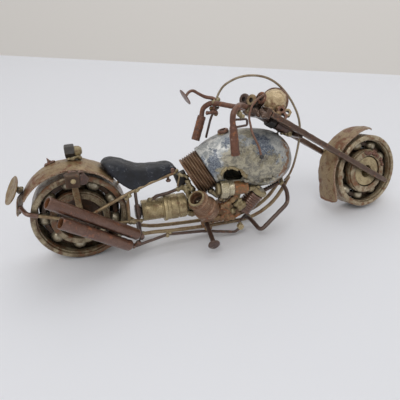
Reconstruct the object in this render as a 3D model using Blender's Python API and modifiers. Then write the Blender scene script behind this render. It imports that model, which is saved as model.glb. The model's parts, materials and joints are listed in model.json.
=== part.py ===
"""A desk-top chopper motorcycle welded up from scrap: ball bearings for wheels, pipe fittings,
nuts, nails, rods and wire. Metres, +Z up, +X forward, +Y to the bike's left. The origin is where
the rear wheel's tread meets the ground."""

import math

import bmesh
import bpy
from mathutils import Matrix, Quaternion, Vector

MM = 0.001

# Driving dimensions, in millimetres and degrees
GAP = 0.3
RING_SIDES = 40
REAR_OUTER_R, REAR_BORE_R, REAR_WIDTH = 26.0, 12.5, 15.0
REAR_PITCH_R, REAR_BALL_R = 19.25, 3.9
FRONT_OUTER_R, FRONT_BORE_R, FRONT_WIDTH = 23.3, 10.0, 14.0
FRONT_PITCH_R, FRONT_BALL_R = 16.9, 3.5
BALLS = 9
CHAMFER = 0.8
WHEELBASE = 179.7
RAKE = 33.0
STEER = 15.7
LEG_AHEAD = 1.0
LEG_SIDE = 9.6
LEG_THICK = 3.2
GRIP_SIDE = 22.0
FENDER_T = 1.0
MUFFLER_R, MUFFLER_WALL = 3.2, 0.9
TANK_WALL = 1.8
THREAD_DEPTH = 0.9

FLAT = math.cos(math.pi / RING_SIDES)
REAR_AXLE = Vector((0.0, 0.0, REAR_OUTER_R * FLAT))


def steered(x, y, z):
    """A direction given in the fork's own axes (ahead, left, up the fork), in the bike's axes."""
    rake = Matrix.Rotation(math.radians(RAKE - 90), 3, "Y")
    return rake @ Matrix.Rotation(math.radians(STEER), 3, "Z") @ Vector((x, y, z))


# The turned fork leans the front wheel, which then stands on the edge of its tread.
LEAN = math.asin(abs(steered(0, 1, 0).z))
FRONT_AXLE_Z = FRONT_OUTER_R * FLAT * math.cos(LEAN) + (FRONT_WIDTH / 2 - CHAMFER) * math.sin(LEAN)
AHEAD = steered(1, 0, 0)
PIVOT = Vector((WHEELBASE - LEG_AHEAD * AHEAD.x, 0, FRONT_AXLE_Z - LEG_AHEAD * AHEAD.z))

for old in list(bpy.data.objects):
    bpy.data.objects.remove(old, do_unlink=True)

scene_root = bpy.context.scene.collection
parts = bpy.data.collections.new("scrap_chopper")
cutters = bpy.data.collections.new("cutters")
scene_root.children.link(parts)
scene_root.children.link(cutters)


# Materials

def material(name, colour, roughness, metallic=1.0):
    mat = bpy.data.materials.new(name)
    mat.use_nodes = True
    shader = mat.node_tree.nodes["Principled BSDF"]
    shader.inputs["Base Color"].default_value = (*colour, 1)
    shader.inputs["Roughness"].default_value = roughness
    shader.inputs["Metallic"].default_value = metallic
    mat.diffuse_color = (*colour, 1)
    return mat


BEARING = material("bearing_steel", (0.30, 0.27, 0.20), 0.42)
BALL = material("ball_steel", (0.55, 0.53, 0.46), 0.25)
RUST = material("rusted_steel", (0.16, 0.075, 0.05), 0.75, 0.3)
DARK = material("dark_steel", (0.045, 0.038, 0.035), 0.6, 0.6)
TAN = material("tan_sheet", (0.30, 0.22, 0.13), 0.6, 0.4)
BRASS = material("dull_brass", (0.38, 0.30, 0.15), 0.42)
NICKEL = material("dull_nickel", (0.45, 0.42, 0.32), 0.35)
GALVANISED = material("galvanised_iron", (0.33, 0.35, 0.35), 0.5, 0.6)
SADDLE = material("saddle_black", (0.012, 0.015, 0.024), 0.5, 0.0)
WELD = material("weld_metal", (0.20, 0.12, 0.06), 0.6, 0.5)


# Builders. Each takes millimetres and hands back the object.

def add(name, mesh, mat, parent=None):
    obj = bpy.data.objects.new(name, mesh)
    mesh.materials.clear()
    mesh.materials.append(mat)
    parts.objects.link(obj)
    obj.parent = parent
    return obj


def smooth(mesh, angle=35.0):
    mesh.shade_smooth()
    mesh.set_sharp_from_angle(angle=math.radians(angle))


def from_bmesh(name, bm, mat, parent=None):
    bmesh.ops.recalc_face_normals(bm, faces=bm.faces)
    mesh = bpy.data.meshes.new(name)
    bm.to_mesh(mesh)
    bm.free()
    smooth(mesh)
    return add(name, mesh, mat, parent)


def place(obj, at, along=(0, 0, 1), spin=0.0):
    """Puts the object's own Z along a direction, turned about it by spin degrees."""
    turn = Vector(along).to_track_quat("Z", "Y") @ Quaternion((0, 0, 1), math.radians(spin))
    obj.location = Vector(at) * MM
    obj.rotation_mode = "QUATERNION"
    obj.rotation_quaternion = turn
    return obj


def turned(name, profile, mat, at=(0, 0, 0), along=(0, 0, 1), sides=24, closed=False,
           parent=None, spin=0.0):
    """A profile of (radius, height) points, from the top of its outer side down, turned about Z."""
    mesh = bpy.data.meshes.new(name)
    points = [(r * MM, 0, h * MM) for r, h in profile]
    edges = [(i, i + 1) for i in range(len(points) - 1)]
    if closed:
        edges.append((len(points) - 1, 0))
    mesh.from_pydata(points, edges, [])
    obj = add(name, mesh, mat, parent)
    screw = obj.modifiers.new("turn", "SCREW")
    screw.steps = screw.render_steps = sides
    screw.use_merge_vertices = True
    screw.merge_threshold = 0.00001
    return place(obj, at, along, spin)


def box(name, size, mat, at=(0, 0, 0), along=(0, 0, 1), spin=0.0, parent=None, bevel=0.25):
    bm = bmesh.new()
    bmesh.ops.create_cube(bm, size=1)
    bmesh.ops.scale(bm, vec=Vector(size) * MM, verts=bm.verts)
    obj = from_bmesh(name, bm, mat, parent)
    edge = obj.modifiers.new("edges", "BEVEL")
    edge.width = bevel * MM
    edge.segments = 1
    return place(obj, at, along, spin)


def nut(name, across, height, mat, at, along, sides=6, spin=0.0, parent=None):
    """A nut or bolt head: a prism with its corners eased top and bottom."""
    corner = across / 2 / math.cos(math.pi / sides)
    ease = 0.12 * across / 2
    profile = [(0, height / 2), (corner - ease, height / 2), (corner, height / 2 - ease),
               (corner, ease - height / 2), (corner - ease, -height / 2), (0, -height / 2)]
    return turned(name, profile, mat, at, along, sides, parent=parent, spin=spin)


def rod(name, points, radius, mat, parent=None, sides=2):
    """A wire or bar of one thickness through its points, made a mesh so that it can be cut."""
    curve = bpy.data.curves.new(name, "CURVE")
    curve.dimensions = "3D"
    curve.bevel_depth = radius * MM
    curve.bevel_resolution = sides
    curve.use_fill_caps = True
    line = curve.splines.new("POLY")
    line.points.add(len(points) - 1)
    for point, spot in zip(line.points, points):
        point.co = (*(Vector(spot) * MM), 1)
    guide = bpy.data.objects.new(name + "_guide", curve)
    parts.objects.link(guide)
    bpy.context.view_layer.update()
    graph = bpy.context.evaluated_depsgraph_get()
    mesh = bpy.data.meshes.new_from_object(guide.evaluated_get(graph))
    mesh.name = name
    bpy.data.objects.remove(guide)
    bm = bmesh.new()
    bm.from_mesh(mesh)
    bmesh.ops.remove_doubles(bm, verts=bm.verts, dist=0.000001)
    bm.to_mesh(mesh)
    bm.free()
    smooth(mesh, 50)
    return add(name, mesh, mat, parent)


def rounded(points, bend, steps=4):
    """The points with each inner corner eased into a short curve that starts bend mm from it."""
    spots = [Vector(p) for p in points]
    route = [spots[0]]
    for before, corner, after in zip(spots, spots[1:], spots[2:]):
        start = corner + (before - corner).normalized() * bend
        end = corner + (after - corner).normalized() * bend
        for i in range(steps + 1):
            t = i / steps
            route.append(start.lerp(corner, t).lerp(corner.lerp(end, t), t))
    route.append(spots[-1])
    return route


def flowing(points, per_span=4):
    """Points along a smooth curve through the given ones."""
    spots = [Vector(p) for p in points]
    spots = [spots[0] * 2 - spots[1]] + spots + [spots[-1] * 2 - spots[-2]]
    route = []
    for a, b, c, d in zip(spots, spots[1:], spots[2:], spots[3:]):
        for i in range(per_span):
            t = i / per_span
            route.append(0.5 * (2 * b + (c - a) * t + (2 * a - 5 * b + 4 * c - d) * t ** 2
                                + (3 * b - a - 3 * c + d) * t ** 3))
    route.append(spots[-2])
    return route


def outline(obj):
    """The object's finished shape, in world space, as one welded bmesh."""
    bpy.context.view_layer.update()
    graph = bpy.context.evaluated_depsgraph_get()
    mesh = bpy.data.meshes.new_from_object(obj.evaluated_get(graph))
    mesh.transform(obj.matrix_world)
    bm = bmesh.new()
    bm.from_mesh(mesh)
    bpy.data.meshes.remove(mesh)
    bmesh.ops.remove_doubles(bm, verts=bm.verts, dist=0.000001)
    bm.normal_update()
    return bm


def boolean(obj, other, operation):
    step = obj.modifiers.new(f"{operation.lower()}_{other.name}"[:60], "BOOLEAN")
    step.operation = operation
    step.solver = "EXACT"
    step.object = other


def shelve(obj):
    """Turns an object into a cutter, which isn't rendered."""
    for home in list(obj.users_collection):
        home.objects.unlink(obj)
    cutters.objects.link(obj)
    obj.hide_render = True
    obj.display_type = "WIRE"
    return obj


def join(obj, *others):
    for other in others:
        boolean(obj, shelve(other), "UNION")
    return obj


def cope(piece, *others, gap=GAP):
    """Cuts the piece back where it meets each other one, as a welder fits a joint, with a gap."""
    for other in others:
        bm = outline(other)
        grown = [(v, v.co + v.normal * gap * MM * v.calc_shell_factor()) for v in bm.verts]
        for vertex, spot in grown:
            vertex.co = spot
        mesh = bpy.data.meshes.new(f"{piece.name}_relief")
        bm.to_mesh(mesh)
        bm.free()
        cutter = bpy.data.objects.new(f"{piece.name}_clears_{other.name}"[:60], mesh)
        parts.objects.link(cutter)
        boolean(piece, shelve(cutter), "DIFFERENCE")
    return piece


def loft(name, rings, mat, parent=None):
    """A skin over rings of the same number of points, closed at both ends."""
    bm = bmesh.new()
    loops = [[bm.verts.new(Vector(p) * MM) for p in ring] for ring in rings]
    for low, high in zip(loops, loops[1:]):
        for i in range(len(low)):
            j = (i + 1) % len(low)
            bm.faces.new((low[i], low[j], high[j], high[i]))
    bm.faces.new(loops[0][::-1])
    bm.faces.new(loops[-1])
    return from_bmesh(name, bm, mat, parent)


# Wheels

def race_profile(face_r, shoulder_r, pitch_r, groove_r, width):
    """A bearing ring's section: face_r is its plain side, shoulder_r the side with the ball groove."""
    half = width / 2
    outer_ring = face_r > shoulder_r
    reach = math.sqrt(groove_r ** 2 - (shoulder_r - pitch_r) ** 2)
    groove = []
    for i in range(5):
        h = reach * (1 - i / 2)
        depth = math.sqrt(groove_r ** 2 - h ** 2)
        groove.append((pitch_r + depth if outer_ring else pitch_r - depth, h))
    if outer_ring:
        return ([(face_r, half - CHAMFER), (face_r, CHAMFER - half), (face_r - CHAMFER, -half),
                 (shoulder_r, -half)] + [(r, -h) for r, h in groove]
                + [(shoulder_r, half), (face_r - CHAMFER, half)])
    return ([(shoulder_r, half)] + groove
            + [(shoulder_r, -half), (face_r, -half), (face_r, half)])


def ball_cage(name, pitch_r, ball_r, at, along, parent=None):
    """The nine balls and the pressed ring that spaces them, as one piece."""
    half_w, half_h = 0.9, 1.9
    ring = [(pitch_r + half_w, half_h), (pitch_r + half_w, -half_h),
            (pitch_r - half_w, -half_h), (pitch_r - half_w, half_h)]
    cage = turned(name, ring, BALL, at, along, 36, closed=True, parent=parent)
    bm = bmesh.new()
    for i in range(BALLS):
        turn = 2 * math.pi * (i + 0.5) / BALLS
        spot = Vector((math.cos(turn), math.sin(turn), 0)) * pitch_r * MM
        bmesh.ops.create_uvsphere(bm, u_segments=10, v_segments=7, radius=ball_r * MM,
                                  matrix=Matrix.Translation(spot))
    balls = from_bmesh(name + "_balls", bm, BALL, parent)
    place(balls, at, along)
    return join(cage, balls)


def bearing(prefix, sizes, down, hub):
    """The outer ring, the inner ring and the ball cage, on the hub's Y axis, with a flat side down."""
    outer_r, bore_r, width, pitch_r, ball_r = sizes
    groove_r = ball_r + 0.3
    shoulder = 0.80 * ball_r
    at, along = (0, 0, 0), Vector((0, -1, 0))
    foot = along.to_track_quat("Z", "Y").inverted() @ down
    flat_turn = math.degrees(math.atan2(foot.y, foot.x)) - 180 / RING_SIDES
    turned(prefix + "_outer_ring", race_profile(outer_r, pitch_r + shoulder, pitch_r, groove_r, width),
           BEARING, at, along, RING_SIDES, closed=True, parent=hub, spin=flat_turn)
    turned(prefix + "_inner_ring", race_profile(bore_r, pitch_r - shoulder, pitch_r, groove_r, width),
           BEARING, at, along, RING_SIDES, closed=True, parent=hub)
    ball_cage(prefix + "_ball_cage", pitch_r, ball_r, at, along, hub)


def rear_wheel():
    hub = bpy.data.objects.new("rear_axis", None)
    parts.objects.link(hub)
    hub.location = REAR_AXLE * MM
    bearing("rear", (REAR_OUTER_R, REAR_BORE_R, REAR_WIDTH, REAR_PITCH_R, REAR_BALL_R),
            Vector((0, 0, -1)), hub)
    rim, boss = REAR_BORE_R - GAP, 3.4
    plug = [(0, 8.6), (boss, 8.6), (boss, 3.0), (rim - 1.6, 3.0), (rim - 1.2, 5.0), (rim, 5.0),
            (rim, -5.0), (boss, -5.0), (boss, -8.6), (0, -8.6)]
    turned("rear_hub_plug", plug, RUST, (0, 0, 0), (0, -1, 0), 32, parent=hub)


# Rear fender and what is on it

FENDER_X, FENDER_Z, FENDER_R, FENDER_HALF = -1.5, 26.5, 29.2, 8.4
FENDER_CROWN = 0.8


def arched_strip(name, centre, radius, half, crown, angles, mat, taper=None, parent=None):
    """A strip bent round the Y axis from one angle to another, crowned across and tapered at an end."""
    bm = bmesh.new()
    steps, across = 18, 4
    rows = []
    for i in range(steps + 1):
        t = i / steps
        angle = math.radians(angles[0] + (angles[1] - angles[0]) * t)
        width = half * (taper(t) if taper else 1)
        row = []
        for j in range(across + 1):
            side = 2 * j / across - 1
            r = radius - crown * side ** 2
            spot = (centre[0] + r * math.cos(angle), centre[1] + side * width,
                    centre[2] + r * math.sin(angle))
            row.append(bm.verts.new(Vector(spot) * MM))
        rows.append(row)
    for low, high in zip(rows, rows[1:]):
        for j in range(across):
            bm.faces.new((low[j], low[j + 1], high[j + 1], high[j]))
    bm.normal_update()
    first = next(iter(bm.faces))
    middle = first.calc_center_median() - Vector(centre) * MM
    if first.normal.dot(Vector((middle.x, 0, middle.z))) < 0:
        bmesh.ops.reverse_faces(bm, faces=bm.faces)
    mesh = bpy.data.meshes.new(name)
    bm.to_mesh(mesh)
    bm.free()
    smooth(mesh, 40)
    obj = add(name, mesh, mat, parent)
    sheet = obj.modifiers.new("sheet", "SOLIDIFY")
    sheet.thickness = FENDER_T * MM
    sheet.offset = 1
    return obj


def rear_fender():
    arched_strip("rear_fender", (FENDER_X, 0, FENDER_Z), FENDER_R, FENDER_HALF, FENDER_CROWN,
                 (42, 147), TAN)
    top = FENDER_Z + FENDER_R + FENDER_T
    hexagon = nut("fender_bolt", 6.6, 4.8, DARK, (0.4, 5.2, top + 3.5), (1, 0, 0), spin=30)
    dome = turned("fender_bolt_dome", [(0, 3.4), (1.6, 3.0), (2.7, 1.8), (3.1, 0), (3.1, -1.4), (0, -1.4)],
                  BRASS, (3.8, 5.2, top + 3.5), (1, 0, 0), 16)
    join(hexagon, dome)


def tail():
    disc = turned("tail_disc", [(0, 0.5), (7.6, 0.3), (8.0, 0), (7.6, -0.6), (0, -0.9)], TAN,
                  (-31.2, 0, 45.2), (0.82, 0.20, -0.54), 24)
    post = rod("tail_post", [(-30.9, 0, 45.4), (-28.6, 0, 46.2), (-27.0, 0, 45.6)], 1.3, BRASS)
    join(disc, post)
    box("tail_plate", (9, 13.5, 1.0), TAN, (-30.1, 0, 36.6), (0.91, -0.29, -0.3), 0)
    rod("tail_stay", rounded([(-28.7, -3.6, 36.2), (-25.8, -9.4, 35.0), (-12.0, -9.5, 30.2),
                              (-4.8, -9.7, 27.6)], 1.2), 1.0, BRASS)


def fender_bracket():
    """A square nut and a small hex one under the fender's near edge, and the strap down to the hub."""
    square = nut("bracket_nut", 6.4, 4.6, RUST, (0.2, -12.0, 50.2), (0, -1, 0), sides=4, spin=45)
    small = nut("bracket_small_nut", 5.0, 3.4, RUST, (5.0, -11.6, 50.4), (0, -1, 0))
    join(square, small)
    box("hub_strap", (3.4, 1.5, 18.6), TAN, (0.6, -10.0, 37.3))


# Exhaust

UPPER_MUFFLER = ((-12.5, -25.8, 48.7), (29.7, -14.4, 13.6))
LOWER_MUFFLER = ((-8.2, -29.2, 38.5), (24.3, -18.0, 9.7))


def muffler(name, ends):
    """A short pipe, open at the back and plugged at the front."""
    tail_end, front_end = (Vector(e) for e in ends)
    axis = tail_end - front_end
    length = axis.length
    bore = MUFFLER_R - MUFFLER_WALL
    profile = [(0, 3.0), (bore, 3.0), (bore, length), (MUFFLER_R - 0.3, length), (MUFFLER_R, length - 0.3),
               (MUFFLER_R, 1.2), (MUFFLER_R - 1.2, 0), (0, 0)]
    return turned(name, profile, RUST, front_end, axis, 20)


def exhaust():
    for name, ends in (("muffler_upper", UPPER_MUFFLER), ("muffler_lower", LOWER_MUFFLER)):
        muffler(name, ends)
    pipe = rod("header_pipe", rounded([(25.3, -17.2, 8.2), (46.2, -14.4, 10.6), (68.0, -13.2, 7.4),
                                (87.6, -13.6, 2.9), (91.2, -12.8, 4.6), (91.0, -11.5, 8.2),
                                (96.6, -7.4, 10.0)], 1.6), 0.85, DARK)
    join(pipe, nut("header_nut", 3.6, 2.4, BRASS, (91.0, -13.4, 6.2), (0, -1, 0)))


# Frame

def frame():
    for name, side in (("lower_rail_right", -1), ("lower_rail_left", 1)):
        y = side * 3.6
        rod(name, flowing([(31.0, side * 5.4, 8.0), (40, y, 6.6), (52, y, 5.4), (72, y, 4.4),
                           (96, y, 4.4), (106.5, y, 6.8), (115.5, y, 12.8), (121.5, y, 20.5),
                           (126.0, y, 29.6)], 3), 1.0, BRASS)
    for name, side in (("seat_rail_right", -1), ("seat_rail_left", 1)):
        rail = [(3.4, side * 9.8, 27.6), (8.1, side * 9.8, 29.9), (23.6, side * 9.5, 36.7),
                (31.0, side * 8.5, 39.2), (40, side * 7, 41.5), (54.6, side * 4.2, 44.0)]
        rod(name, rounded(rail, 1.5), 0.95, BRASS)
    posts = rod("seat_posts", [(31.0, -8.0, 36.6), (31.2, -8.0, 20.0), (31.4, -6.8, 10.0)], 0.9, DARK)
    join(posts, rod("seat_post_rear", [(26.4, -9.0, 35.2), (25.8, -8.9, 19.4)], 0.9, DARK),
         rod("swing_arm_right", rounded([(4.6, -9.9, 24.4), (20.6, -9.7, 20.8), (31.6, -8.2, 19.4)], 2.0),
             0.9, BRASS))
    rod("swing_arm_left", rounded([(4.6, 9.9, 24.4), (20.6, 9.8, 18.6), (31.0, 7.4, 10.0)], 2.0),
        0.9, BRASS)
    rod("crash_bar", rounded([(120.4, -5.2, 27.4), (121.6, -11.0, 24.4), (119.3, -18.0, 20.0),
                              (101.0, -21.4, 5.9), (98.3, -9.4, 8.6), (97.6, -5.4, 7.0)], 3.2),
        1.25, DARK)
    rod("top_rod", [(43.2, -0.6, 29.0), (50.5, -0.6, 29.6), (57.2, -1.6, 31.6)], 1.0, DARK)


def foot_peg():
    """A nail set sideways in the frame, head outwards."""
    length, shank = 16.4, 1.3
    profile = [(0, length + 1.1), (2.6, length + 0.9), (3.5, length + 0.3), (3.5, length),
               (1.9, length - 0.5), (shank, length - 1.2), (shank, 0), (0, 0)]
    return turned("foot_peg", profile, RUST, (70.4, -12.0, 10.8), (-0.04, -0.97, -0.21), 16)


# Gearbox and engine

def gearbox():
    """Turned fittings threaded on one long bolt, behind the engine."""
    along = (1, 0, -0.02)
    start = (30.2, 0, 20.6)
    bore = 3.0
    shank = [(0, 41.0), (2.6, 41.0), (2.6, 3.2), (4.2, 3.2), (4.2, 0.4), (3.8, 0), (0, 0)]
    bolt = turned("gearbox_bolt", shank, DARK, start, along, 16)
    shell = [(7.0, 30.4), (7.3, 29.6), (7.3, 26.0), (7.0, 25.4), (7.5, 24.8), (7.5, 18.6), (8.0, 18.4),
             (8.0, 16.6), (6.3, 16.4)]
    top, turns = 16.0, 7
    pitch = (top - 4.4) / turns
    for i in range(turns):
        shell.append((6.3, top - i * pitch - 0.1))
        shell.append((6.0, top - (i + 0.5) * pitch))
    shell += [(6.2, 4.3), (5.8, 3.9), (bore, 3.9), (bore, 30.4)]
    turned("gearbox_body", shell, BRASS, start, along, 24, closed=True)
    join(bolt, nut("gearbox_nut", 9.6, 4.2, BRASS, Vector(start) + Vector(along) * 33.2, along))


REAR_CYLINDER = ((71.4, -13.0, 20.3), (62.8, -18.0, 33.4))
FRONT_CYLINDER = ((93.6, -9.0, 15.4), (101.8, -10.5, 26.2))


def threaded(radius, low, high, turns, depth=0.45):
    """Ridges of a thread from high down to low, as (radius, height) points."""
    pitch = (high - low) / turns
    points = [(radius - depth, high)]
    for i in range(turns):
        points.append((radius, high - (i + 0.5) * pitch))
        points.append((radius - depth, high - (i + 1) * pitch))
    return points


def engine():
    base, top = (Vector(p) for p in REAR_CYLINDER)
    axis = top - base
    length = axis.length
    socket = 3.0
    profile = ([(0, length - 5), (socket, length - 5), (socket, length), (4.4, length), (4.9, length - 0.5),
                (4.9, length - 2.2)] + threaded(6.0, 6.4, length - 2.4, 5)
               + [(7.0, 6.2), (7.2, 5.6), (7.2, 1.2), (6.6, 0), (0, 0)])
    rear = turned("rear_cylinder", profile, RUST, base, axis, 24)
    base, top = (Vector(p) for p in FRONT_CYLINDER)
    axis = top - base
    length = axis.length
    front = turned("front_cylinder", [(0, length)] + threaded(5.2, 0, length, 8) + [(0, 0)], RUST,
                   base, axis, 24)
    nut("front_cylinder_nut", 9.6, 3.0, BRASS, top + axis.normalized() * 1.9, axis, spin=10)
    carb_start, carb_end = Vector((77.6, -13.0, 34.0)), Vector((95.0, -14.2, 33.0))
    axis = (carb_end - carb_start).normalized()
    turned("carburettor_barrel", [(0, 17.0), (3.6, 17.0), (4.0, 16.5), (4.0, 9.4), (3.4, 9.0), (0, 9.0)],
           RUST, carb_start, axis, 20)
    nut("carburettor_nut", 9.6, 7.8, NICKEL, carb_start + axis * 4.4, axis, spin=15)
    block = None
    for centre, size in (((76.5, -5.2, 15.6), (7.0, 6.0, 6.4)), ((84.0, -6.4, 17.6), (7.4, 6.4, 7.6)),
                         ((91.0, -4.8, 14.6), (6.6, 5.8, 6.0))):
        spot = Matrix.Translation(Vector(centre) * MM) @ Matrix.Diagonal((*(Vector(size) * MM), 1))
        lump = bmesh.new()
        bmesh.ops.create_uvsphere(lump, u_segments=16, v_segments=10, radius=1, matrix=spot)
        piece = from_bmesh("engine_lump" if block else "engine_block", lump, WELD)
        if block:
            join(block, piece)
        else:
            block = piece
    cope(block, rear, front)


# Tank

NECK_TILT = math.radians(28)
NECK_START, NECK_DIRECTION = Vector((64.5, 0, 36.9)), Vector((math.cos(NECK_TILT), 0, math.sin(NECK_TILT)))
NECK_R, NECK_LENGTH, NECK_BORE = 12.8, 12.0, 10.2
TANK_ROUTE = ((76.0, 42.9, 13.0), (77.4, 43.5, 13.8), (82.0, 44.8, 15.0), (88.0, 45.7, 16.2),
              (95.0, 45.6, 17.0), (102.0, 44.6, 17.2), (109.0, 43.2, 17.0), (115.0, 41.8, 15.6),
              (120.0, 40.6, 12.6), (123.6, 39.7, 9.0), (126.0, 39.2, 4.6), (126.8, 39.0, 1.2))


def tank_ring(index, wall=0.0, count=28):
    """A section of the tank, square to its bending centre line."""
    x, z, radius = TANK_ROUTE[index]
    before = TANK_ROUTE[max(index - 1, 0)]
    after = TANK_ROUTE[min(index + 1, len(TANK_ROUTE) - 1)]
    ahead = Vector((after[0] - before[0], 0, after[1] - before[1])).normalized()
    up = Vector((-ahead.z, 0, ahead.x))
    ring = []
    for i in range(count):
        turn = 2 * math.pi * i / count
        out = up * math.cos(turn) + Vector((0, 1, 0)) * math.sin(turn)
        ring.append(Vector((x, 0, z)) + out * (radius - wall))
    return ring


def tank():
    pitch_count = 8
    neck = ([(NECK_R - THREAD_DEPTH - 0.2, NECK_LENGTH - 0.3)]
            + threaded(NECK_R, 0, NECK_LENGTH - 0.9, pitch_count, THREAD_DEPTH)
            + [(NECK_BORE, 0), (NECK_BORE, NECK_LENGTH - 0.3)])
    neck_piece = turned("tank_neck", neck, RUST, NECK_START, NECK_DIRECTION, 30, closed=True)
    last = len(TANK_ROUTE) - 1
    outer = [tank_ring(i) for i in range(last + 1)]
    inner = [tank_ring(i, TANK_WALL) for i in range(last - 3, 0, -1)] + [tank_ring(0, TANK_WALL + 0.6)]
    bm = bmesh.new()
    skins = []
    for rings in (outer, inner):
        skins.append([[bm.verts.new(p * MM) for p in ring] for ring in rings])
    chain = skins[0][::-1] + [skins[1][-1]] + skins[1][-2::-1]
    for low, high in zip(chain, chain[1:]):
        for i in range(len(low)):
            j = (i + 1) % len(low)
            bm.faces.new((low[i], low[j], high[j], high[i]))
    bm.faces.new(chain[0])
    bm.faces.new(chain[-1])
    body = from_bmesh("tank_body", bm, GALVANISED)
    hole = bmesh.new()
    spot = (Matrix.Translation(Vector((85.5, -15.0, 39.5)) * MM) @ Matrix.Rotation(math.radians(14), 4, "Y")
            @ Matrix.Diagonal((6.6 * MM, 5.0 * MM, 4.4 * MM, 1)))
    bmesh.ops.create_uvsphere(hole, u_segments=12, v_segments=8, radius=1, matrix=spot)
    boolean(body, shelve(from_bmesh("tank_hole", hole, GALVANISED)), "DIFFERENCE")
    cope(body, *(bpy.data.objects[name] for name in ("carburettor_nut", "carburettor_barrel",
                                                     "front_cylinder_nut")))
    cope(neck_piece, bpy.data.objects["carburettor_nut"])
    filler = turned("filler_ring", [(2.2, 1.0), (3.2, 0.6), (3.2, -0.9), (1.5, -0.9), (1.5, 0.7)], RUST,
                    (85.4, 2.6, 62.0), (-0.22, 0.16, 0.96), 16, closed=True)
    cope(filler, body)


def threaded_rod():
    start, end = Vector((106.6, -5.2, 22.6)), Vector((119.6, -5.2, 27.6))
    length = (end - start).length
    profile = [(0, length)] + threaded(1.5, 0, length, 9, 0.35) + [(0, 0)]
    stud = turned("threaded_stud", profile, DARK, start, end - start, 12)
    cope(stud, bpy.data.objects["crash_bar"])


# Seat

def seat():
    """A saddle that rises at the back and drops over the rails on both sides."""
    sections = ((15.2, 54.4, 3.0, 1.5), (17.0, 55.4, 5.4, 3.8), (21.4, 55.6, 7.4, 7.6),
                (26.0, 53.6, 8.0, 9.2), (31.0, 50.8, 7.8, 8.6), (37.0, 49.2, 7.2, 6.8),
                (43.0, 48.8, 6.2, 5.4), (49.0, 49.2, 5.0, 4.7), (53.0, 48.6, 3.8, 4.0),
                (54.8, 47.4, 2.4, 2.6))
    rings = []
    for x, top, half, depth in sections:
        ring = []
        for u, v in ((-0.92, -1.0), (-1.0, -0.45), (-0.72, -0.08), (-0.3, 0), (0.3, 0), (0.72, -0.08),
                     (1.0, -0.45), (0.92, -1.0), (0.45, -0.72), (-0.45, -0.72)):
            ring.append((x, u * half, top + v * depth))
        rings.append(ring)
    saddle = loft("seat", rings, SADDLE)
    soft = saddle.modifiers.new("soften", "SUBSURF")
    soft.levels = soft.render_levels = 1
    cope(saddle, *(bpy.data.objects[name] for name in ("rear_fender", "seat_rail_right", "seat_rail_left")))
    box("seat_block", (4.4, 7.0, 7.6), DARK, (58.6, -1.2, 38.4), (-0.3, 0, 0.95))


# Front end. Everything here is in the fork's own axes: X ahead of it, Y to the left, Z up the fork.

def fork_axes():
    rake = bpy.data.objects.new("fork_rake", None)
    axis = bpy.data.objects.new("steering_axis", None)
    for empty in (rake, axis):
        parts.objects.link(empty)
    rake.location = PIVOT * MM
    rake.rotation_euler = (0, math.radians(RAKE - 90), 0)
    axis.parent = rake
    axis.rotation_euler = (0, 0, math.radians(STEER))
    return axis


def head_tube(rake):
    profile = [(3.3, 74.6), (3.3, 63.0), (2.3, 63.0), (2.3, 74.6)]
    return turned("head_tube", profile, DARK, (0, 0, 0), (0, 0, 1), 20, closed=True, parent=rake)


def fork(axis):
    low, high = -15.0, 85.6
    for name, side in (("fork_leg_right", -1), ("fork_leg_left", 1)):
        box(name, (LEG_THICK, LEG_THICK, high - low), RUST,
            (LEG_AHEAD, side * LEG_SIDE, (low + high) / 2), parent=axis, bevel=0.4)
    shank = [(0, 92.6), (3.0, 92.6), (3.4, 92.0), (3.4, 90.0), (1.9, 90.0), (1.9, 58.2), (0, 58.2)]
    stem = turned("stem_bolt", shank, DARK, (0, 0, 0), (0, 0, 1), 12, parent=axis)
    collar = nut("stem_nut", 7.6, 4.0, RUST, (0, 0, 78.0), (0, 0, 1), parent=axis)
    between_legs = 2 * (LEG_SIDE - LEG_THICK / 2 - GAP)
    bridge = box("lower_yoke", (4.8, between_legs, 3.4), DARK, (0.4, 0, 60.0), parent=axis)
    yoke = box("upper_yoke", (5.6, 23.0, 3.2), RUST, (0.4, 0, 87.9), parent=axis)
    for side in (-1, 1):
        riser = box("riser", (2.4, 2.6, 5.8), RUST, (-1.0, side * 5.2, 91.6), parent=axis)
        join(yoke, riser)
    bpy.context.view_layer.update()
    for piece in (collar, bridge, yoke):
        cope(piece, stem)
    return yoke


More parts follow.
